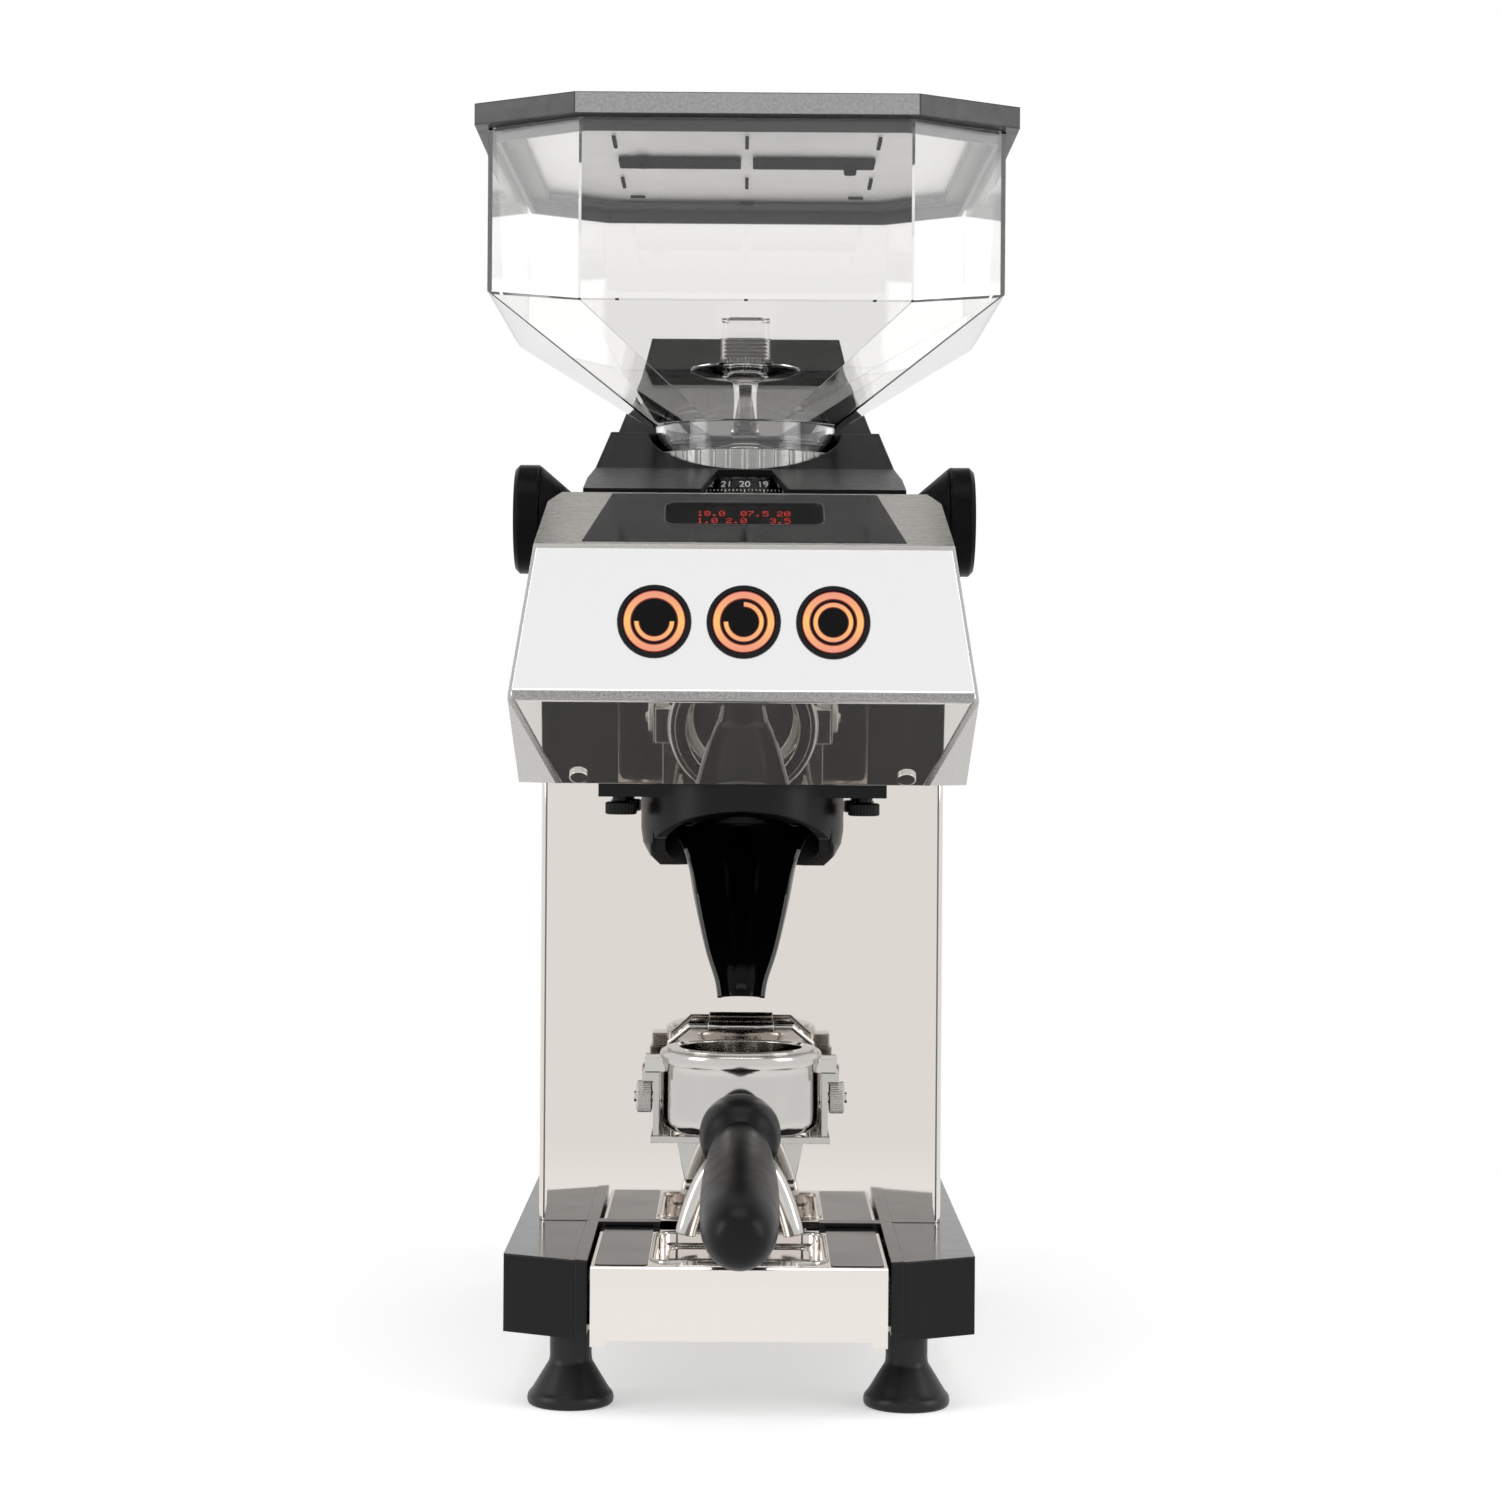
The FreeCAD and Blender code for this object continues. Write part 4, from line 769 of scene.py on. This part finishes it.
PLUNGER_PROFILE = [
    (0, 3.8), (38.2, 3.8), (38.5, 4.4), (38.5, 5.8), (38.0, 6.4), (13, 7.6), (8.5, 9.5), (6.6, 13),
    (6.0, 18), (5.6, 30), (6.4, 37.5), (10, 39.6), (20, 40.2), (27.2, 43), (27.5, 44), (27, 44.6),
    (20, 42.4), (9, 43.4), (8.2, 46), (0, 46),
]


def plunger():
    """Clear shut-off plunger with a dished guard and a ribbed grip block."""
    bm = bmesh.new()
    base = Matrix.Translation((0, AXIS_Y, THROAT_Z))
    lathe(bm, in_metres(PLUNGER_PROFILE), 96, base)
    grip = bmesh.new()
    plate(grip, rounded_plan(-12 * MM, 12 * MM, -9 * MM, 9 * MM, 4 * MM), 45.8 * MM, 69.5 * MM)
    level_edges = [e for e in grip.edges if abs(e.verts[0].co.z - e.verts[1].co.z) < 1e-6]
    bmesh.ops.bevel(grip, geom=level_edges, offset=2.6 * MM, segments=5, affect="EDGES")
    for k in range(6):
        z = (48.5 + 1.9 * k) * MM
        plate(grip, rounded_plan(-12.7 * MM, 12.7 * MM, -9.7 * MM, 9.7 * MM, 3.4 * MM), z, z + 0.9 * MM)
    take_in(bm, mesh_from("grip", grip, base))
    made = piece("clear_plunger", mesh_from("plunger", bm), "gate", CLEAR)
    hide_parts("gate_plunger")


def matt_black():
    mat = new_material("matt_black", Specular_IOR_Level=0.02)
    vary_colour(mat, grain(mat, 60), tone(16, 16, 16), tone(24, 24, 24))
    vary_roughness(mat, grain(mat, 200), 0.7, 0.85)
    return mat


LID_SLOT_PLACES = [(x, y) for x in (-64, 0, 64) for y in (-56, 56)]
LID_CLIP_PLACES = [(-58, -99), (58, -99), (-58, 99), (58, 99), (0, -117), (0, 117)]
LID_PIN = [(0, -3), (3, -3), (3.4, 0), (0, 0)]


def lid_plate(bm, x, y, half_x, half_y, radius):
    """Thin mark under the lid, placed from the hopper's axis."""
    plan = rounded_plan((x - half_x) * MM, (x + half_x) * MM, AXIS_Y + (y - half_y) * MM,
                        AXIS_Y + (y + half_y) * MM, radius * MM, 3)
    plate(bm, plan, LID_UNDER - LID_MARK, LID_UNDER)


def lid_marks():
    """Dark ribs and pins on the under side of the lid."""
    bm = bmesh.new()
    low = LID_UNDER - LID_MARK
    half = 12 * MM
    for side, pin in ((-1, -7), (1, 9)):
        x0, x1 = sorted((side * 3 * MM, side * 64 * MM))
        plate(bm, rounded_plan(x0, x1, AXIS_Y - half, AXIS_Y + half, 1.5 * MM, 4), low, LID_UNDER)
        spot = Matrix.Translation((side * 52 * MM, AXIS_Y + pin * MM, low))
        lathe(bm, in_metres(LID_PIN), 24, spot)
    for x, y in LID_SLOT_PLACES:
        lid_plate(bm, x, y, 0.9, 14, 0.8)
    for x, y in LID_CLIP_PLACES:
        lid_plate(bm, x, y, 4, 1.5, 1.2)
    piece("lid_marks", mesh_from("marks", bm), "lid", matt_black())


def lid_band():
    """Satin grey band along the front and back of the lid."""
    grey = new_material("lid_band", Metallic=0.6)
    fine = grain(grey, 900, detail=2)
    vary_colour(grey, grain(grey, 700), tone(146, 146, 147), tone(168, 168, 169))
    vary_roughness(grey, fine, 0.4, 0.55)
    bm = bmesh.new()
    half = 78.5 * MM
    for y0, y1 in ((-74.25, -73.9), (209.9, 210.25)):
        slab(bm, -half, half, y0 * MM, y1 * MM, 586.2 * MM, 595.4 * MM)
    piece("lid_bands", mesh_from("bands", bm), "lid", grey)


def tray_reflection_sheets_and_beads():
    """Dark sheets beside the dish, a painted reflection of the dark underside on the polished tray, and
    the rolled beads round the dish.
    """
    # Painted reflection: thin dark bluish sheets stand in for the underside mirrored in the polished tray
    # top.
    mat = new_material("tray_reflection_black", Specular_IOR_Level=0.3)
    vary_colour(mat, grain(mat, 18), tone(9, 10, 14), tone(17, 18, 23))
    vary_roughness(mat, grain(mat, 25), 0.06, 0.2)
    bm = bmesh.new()
    sheet_top = TRAY_TOP + 0.35 * MM
    for side, _ in SIDES:
        x0, x1 = sorted((side * 40.8 * MM, side * 64.4 * MM))
        plate(bm, rounded_plan(x0, x1, -112 * MM, -7 * MM, 2.5 * MM), TRAY_TOP, sheet_top)
    piece("tray_reflection_sheet", mesh_from("mat", bm), "tray", mat)
    rim = bmesh.new()
    outer = rounded_plan(-39.4 * MM, 39.4 * MM, -104.4 * MM, -20.6 * MM, 10 * MM, 12)
    bead(rim, outer, TRAY_TOP + 0.1 * MM, 0.9 * MM)
    inner = rounded_plan(-33 * MM, 33 * MM, -98 * MM, -27 * MM, 7 * MM, 12)
    bead(rim, inner, TRAY_TOP - 5.9 * MM, 0.7 * MM)
    piece("dish_beads", mesh_from("beads", rim), "tray", CHROME)


def knurled(bm, radius, length, teeth, place):
    """Short knurled cylinder with softened ends, along Z."""
    rows = []
    end = 0.86
    count = teeth * 4
    for k in range(count):
        angle = 2 * math.pi * k / count
        side = 0.93 if k % 4 in (2, 3) else 1
        row = []
        for share, along in ((end, 0), (side, 0.08), (side, 0.92), (end, 1)):
            reach = radius * share
            spot = Vector((reach * math.cos(angle), reach * math.sin(angle), length * along))
            row.append(bm.verts.new(place @ spot))
        rows.append(row)
    for k in range(count):
        one = rows[k]
        two = rows[(k + 1) % count]
        for i in range(3):
            bm.faces.new((one[i], two[i], two[i + 1], one[i + 1]))
    bm.faces.new([row[0] for row in reversed(rows)])
    bm.faces.new([row[-1] for row in rows])


SPOUT_TOP = Vector((0, -31 * MM, 280 * MM))
SPOUT_CUT_AHEAD = 2
SPOUT_CUT_DROP = -18
SPOUT_CUT_LEAN = 45 / 82
SPOUT_HALF_WALL = 1
SPOUT_RIM = [
    (-31, 27.8, 26.2, 4.4), (-41, 24.6, 24.3, 9), (-53, 22.3, 22.2, 16), (-65, 19.5, 19.4, 24),
    (-77, 16.2, 16.1, 33), (-89, 12.1, 12.0, 41), (-96.6, 10.8, 10.7, 45),
]


def rim_spot(drop, half_width, half_depth, ahead):
    """Where the spout's slanting front cut meets the right-hand wall, at one level."""
    cut = SPOUT_CUT_AHEAD + (SPOUT_CUT_DROP - drop) * SPOUT_CUT_LEAN
    share = (ahead - cut) / (half_depth - SPOUT_HALF_WALL)
    across = (half_width - SPOUT_HALF_WALL) * math.sqrt(1 - share ** 2)
    return SPOUT_TOP + Vector((across, -cut, drop)) * MM


def tube(bm, line, radius, steps=10):
    """Round bead along an open line."""
    rows = []
    for k, here in enumerate(line):
        along = line[min(k + 1, len(line) - 1)] - line[max(k - 1, 0)]
        side = along.cross(Vector((0, 1, 0.2))).normalized()
        up = side.cross(along).normalized()
        ring = []
        for i in range(steps):
            angle = 2 * math.pi * i / steps
            ring.append(bm.verts.new(here + (side * math.cos(angle) + up * math.sin(angle)) * radius))
        rows.append(ring)
    for one, two in zip(rows, rows[1:]):
        for i in range(steps):
            j = (i + 1) % steps
            bm.faces.new((one[i], one[j], two[j], two[i]))
    bm.faces.new(rows[0])
    bm.faces.new(reversed(rows[-1]))


def spout_rim():
    """Polished round edge on both sides of the spout's open front."""
    mat = new_material("rim_black", Base_Color=tone(10, 10, 11), Specular_IOR_Level=1.0, Coat_Weight=1.0)
    vary_roughness(mat, grain(mat, 200), 0.04, 0.1)
    bm = bmesh.new()
    right = smooth_line([rim_spot(*row) for row in SPOUT_RIM], 6)
    left = [Vector((-spot.x, spot.y, spot.z)) for spot in right]
    for line in (right, left):
        tube(bm, line, 1.1 * MM)
    piece("spout_rim", mesh_from("rim", bm), "chassis", mat)


CUP_OUTSIDE = [
    (24, 120.6), (30.2, 120.8), (33.4, 122), (35.2, 124.6), (35.8, 128.5), (35.8, 140), (35.8, 148.5),
    (36.3, 151.4), (37.0, 153), (37.1, 156.6), (36.2, 158),
]
CUP_INSIDE = [(32.5, 158), (32.5, 148), (30.5, 147), (30.5, 139), (25, 126), (0, 126)]
SOCKET = [(0, 28), (10, 28), (12, 38), (12, 44), (0, 44)]
NECK = [(0, 107), (8, 107), (9, 121), (0, 121)]
OUTLET = [(0, 113), (8, 108), (15.5, 99), (20.5, 88), (24, 77), (25, 72.5)]


def cup():
    """Portafilter: straight bright cup, two lugs, handle socket and two curved outlets."""
    bm = bmesh.new()
    foot = (0, CUP_OUTSIDE[0][1])
    outside = [tuple(spot) for spot in smooth_line(CUP_OUTSIDE, 5)]
    dock = Matrix.Translation((0, DOCK_Y, 0))
    lathe(bm, in_metres([foot] + outside + CUP_INSIDE), 128, dock)
    lathe(bm, in_metres(SOCKET), 64, handle_place())
    lathe(bm, in_metres(NECK), 64, dock)
    lug_half = 9 * MM
    for side, _ in SIDES:
        x0, x1 = sorted((side * 34 * MM, side * 43.9 * MM))
        slab(bm, x0, x1, DOCK_Y - lug_half, DOCK_Y + lug_half, 148.2 * MM, 154.4 * MM)
        line = smooth_line([(side * x * MM, DOCK_Y, z * MM) for x, z in OUTLET], 6)
        tube(bm, line, 4.8 * MM, 24)
    made = piece("cup", mesh_from("cup", bm), "portafilter", CUP)
    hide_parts("portafilter_body")


def panel_edge_reflections():
    """Darker line down each rounded edge of the splash panel, a painted reflection of the bend."""
    # Painted reflection: grey steel strips stand in for the darker reflection along the panel's bent
    # edges.
    mat = new_material("edge_reflection_steel", Base_Color=tone(118, 117, 115), Metallic=0.6)
    vary_roughness(mat, grain(mat, 200), 0.2, 0.35)
    low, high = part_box("splash_panel")
    inset = 2.4 * MM
    half = 0.3 * MM
    end = 1 * MM
    bm = bmesh.new()
    for x in (low[0] + inset, high[0] - inset):
        slab(bm, x - half, x + half, low[1] - 0.06 * MM, low[1] + half, low[2] + end, high[2] - end)
    piece("panel_edge_reflections", mesh_from("edge_reflection_lines", bm), "chassis", mat)


LIP_PROFILE = [
    (-115.75, 319.4), (-115.75, 321.7), (-115.1, 322.1), (-114.1, 319.9), (-114.1, 318.2),
    (-114.7, 317.68),
]


def lip_band():
    """Grained face of the rolled lip under the control panel, in steel painted darker as painted shade.
    """
    bm = bmesh.new()
    half = 102.3 * MM
    left = [bm.verts.new((-half, y, z)) for y, z in in_metres(LIP_PROFILE)]
    right = [bm.verts.new((half, y, z)) for y, z in in_metres(LIP_PROFILE)]
    count = len(LIP_PROFILE)
    for k in range(count):
        j = (k + 1) % count
        bm.faces.new((left[k], left[j], right[j], right[k]))
    bm.faces.new(left)
    bm.faces.new(reversed(right))
    piece("lip_band", mesh_from("band", bm), "chassis", LIP)


def thumb_nuts():
    """Knurled nuts on the guide arms of the fork."""
    for side, name in SIDES:
        bm = bmesh.new()
        start = Vector((side * 40.6 * MM, DOCK_Y, 136 * MM))
        place = frame_at(start, (0, 1, 0), (0, 0, 1) if side > 0 else (0, 0, -1))
        knurled(bm, 7.35 * MM, 7.2 * MM, 40, place)
        made = piece(name + "_knurled_nut", mesh_from("nut", bm), name + "_thumb_nut", CHROME)
        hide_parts(name + "_thumb_nut")


SCREW_SHANK = [(0, 6), (4.1, 6), (4.1, 14), (0, 14)]


def thumb_screws():
    """Knurled screws that hold the spout mount."""
    for side, name in SIDES:
        bm = bmesh.new()
        spot = Matrix.Translation((side * 57 * MM, -31 * MM, 265 * MM))
        knurled(bm, 7.4 * MM, 6 * MM, 28, spot)
        lathe(bm, in_metres(SCREW_SHANK), 32, spot)
        made = piece(name + "_knurled_screw", mesh_from("screw", bm), name + "_thumb_screw", BLACK)
        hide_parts(name + "_thumb_screw")


def world_light():
    """White room: plain to the eye, softer as light, and darker overhead in reflections."""
    world = bpy.data.worlds.new("studio")
    bpy.context.scene.world = world
    world.use_nodes = True
    tree = world.node_tree
    tree.nodes.clear()
    add = tree.nodes.new
    join = tree.links.new
    path = add("ShaderNodeLightPath")
    seen = add("ShaderNodeBackground")
    seen.inputs["Color"].default_value = WHITE
    seen.inputs["Strength"].default_value = 1
    soft = add("ShaderNodeBackground")
    soft.inputs["Color"].default_value = WHITE
    soft.inputs["Strength"].default_value = SOFT_LIGHT
    mirror = add("ShaderNodeBackground")
    place = add("ShaderNodeTexCoord")
    split = add("ShaderNodeSeparateXYZ")
    ramp = add("ShaderNodeValToRGB")
    ramp.color_ramp.elements[0].position = 0.5
    ramp.color_ramp.elements[0].color = WHITE
    ramp.color_ramp.elements[1].position = 0.92
    ramp.color_ramp.elements[1].color = (ROOM_TOP_GREY, ROOM_TOP_GREY, ROOM_TOP_GREY, 1)
    join(place.outputs["Generated"], split.inputs["Vector"])
    join(split.outputs["Z"], ramp.inputs["Fac"])
    join(ramp.outputs["Color"], mirror.inputs["Color"])
    last = soft
    for ray, light in (("Is Glossy Ray", mirror), ("Is Transmission Ray", seen), ("Is Camera Ray", seen)):
        mix = add("ShaderNodeMixShader")
        join(path.outputs[ray], mix.inputs["Fac"])
        join(last.outputs[0], mix.inputs[1])
        join(light.outputs[0], mix.inputs[2])
        last = mix
    join(last.outputs[0], add("ShaderNodeOutputWorld").inputs["Surface"])


def floor_fade(tree):
    """Share of plain white, which grows with the distance from the object."""
    place = tree.nodes.new("ShaderNodeTexCoord")
    reach = tree.nodes.new("ShaderNodeVectorMath")
    share = tree.nodes.new("ShaderNodeMapRange")
    reach.operation = "LENGTH"
    share.interpolation_type = "SMOOTHSTEP"
    share.inputs["From Min"].default_value = FADE_START
    share.inputs["From Max"].default_value = FADE_END
    tree.links.new(place.outputs["Object"], reach.inputs[0])
    tree.links.new(reach.outputs["Value"], share.inputs["Value"])
    return share.outputs["Result"]


def direct_ray(tree):
    """One for rays from the camera, from a mirror or through clear plastic, and nought for light."""
    path = tree.nodes.new("ShaderNodeLightPath")
    first = tree.nodes.new("ShaderNodeMath")
    second = tree.nodes.new("ShaderNodeMath")
    first.operation = "MAXIMUM"
    second.operation = "MAXIMUM"
    tree.links.new(path.outputs["Is Camera Ray"], first.inputs[0])
    tree.links.new(path.outputs["Is Glossy Ray"], first.inputs[1])
    tree.links.new(first.outputs[0], second.inputs[0])
    tree.links.new(path.outputs["Is Transmission Ray"], second.inputs[1])
    return second.outputs[0]


def floor_material():
    """White floor that keeps the object's shadow and fades to plain white further out."""
    mat = bpy.data.materials.new("floor_white")
    mat.use_nodes = True
    tree = mat.node_tree
    tree.nodes.clear()
    add = tree.nodes.new
    join = tree.links.new
    matt = add("ShaderNodeBsdfDiffuse")
    glow = add("ShaderNodeEmission")
    plain = add("ShaderNodeEmission")
    both = add("ShaderNodeAddShader")
    fade = add("ShaderNodeMixShader")
    mix = add("ShaderNodeMixShader")
    matt.inputs["Color"].default_value = (FLOOR_GREY, FLOOR_GREY, FLOOR_GREY, 1)
    glow.inputs["Strength"].default_value = FLOOR_GLOW
    plain.inputs["Strength"].default_value = 1
    join(matt.outputs[0], both.inputs[0])
    join(glow.outputs[0], both.inputs[1])
    join(floor_fade(tree), fade.inputs["Fac"])
    join(both.outputs[0], fade.inputs[1])
    join(plain.outputs[0], fade.inputs[2])
    join(direct_ray(tree), mix.inputs["Fac"])
    join(matt.outputs[0], mix.inputs[1])
    join(fade.outputs[0], mix.inputs[2])
    join(mix.outputs[0], add("ShaderNodeOutputMaterial").inputs["Surface"])
    return mat


def floor():
    bm = bmesh.new()
    bmesh.ops.create_grid(bm, x_segments=2, y_segments=2, size=FLOOR_HALF)
    mesh = bpy.data.meshes.new("floor")
    bm.to_mesh(mesh)
    bm.free()
    mesh.materials.append(floor_material())
    made = bpy.data.objects.new("floor", mesh)
    bpy.context.scene.collection.objects.link(made)


def softbox(name, at, towards, power, width, height):
    lamp = bpy.data.lights.new(name, "AREA")
    lamp.shape = "RECTANGLE"
    lamp.size = width
    lamp.size_y = height
    lamp.energy = power
    made = bpy.data.objects.new(name, lamp)
    made.location = at
    aim = Vector(towards) - Vector(at)
    made.rotation_euler = aim.to_track_quat("-Z", "Y").to_euler()
    bpy.context.scene.collection.objects.link(made)


def lights():
    middle = (0, 0, 0.3)
    softbox("left_box", (-1.9, -0.9, 0.9), middle, LAMP_POWER, 0.9, 1.4)
    softbox("right_box", (1.9, -0.9, 0.9), middle, LAMP_POWER, 0.9, 1.4)
    softbox("top_box", (0, -0.5, 2.2), middle, LAMP_POWER, 1.6, 1.2)


def camera():
    lens = bpy.data.cameras.new("camera")
    lens.sensor_width = 36
    lens.lens = FOCAL_PIXELS / PHOTO_PIXELS * lens.sensor_width
    lens.shift_x = CENTRE_LEFT / PHOTO_PIXELS
    lens.shift_y = -HORIZON_RISE / PHOTO_PIXELS
    lens.clip_end = 50
    made = bpy.data.objects.new("camera", lens)
    turn = Matrix.Rotation(math.radians(90), 4, "X") @ Matrix.Rotation(math.radians(ROLL), 4, "Z")
    made.matrix_world = Matrix.Translation(CAMERA_AT) @ turn
    bpy.context.scene.collection.objects.link(made)
    bpy.context.scene.camera = made


paint_nodes()
button_pieces()
readout()
overlay_lines()
dial_figures()
handle()
feet()
plunger()
lid_marks()
lid_band()
tray_reflection_sheets_and_beads()
cup()
panel_edge_reflections()
lip_band()
spout_rim()
thumb_nuts()
thumb_screws()
world_light()
floor()
lights()
camera()
bpy.context.scene.view_settings.view_transform = "Standard"
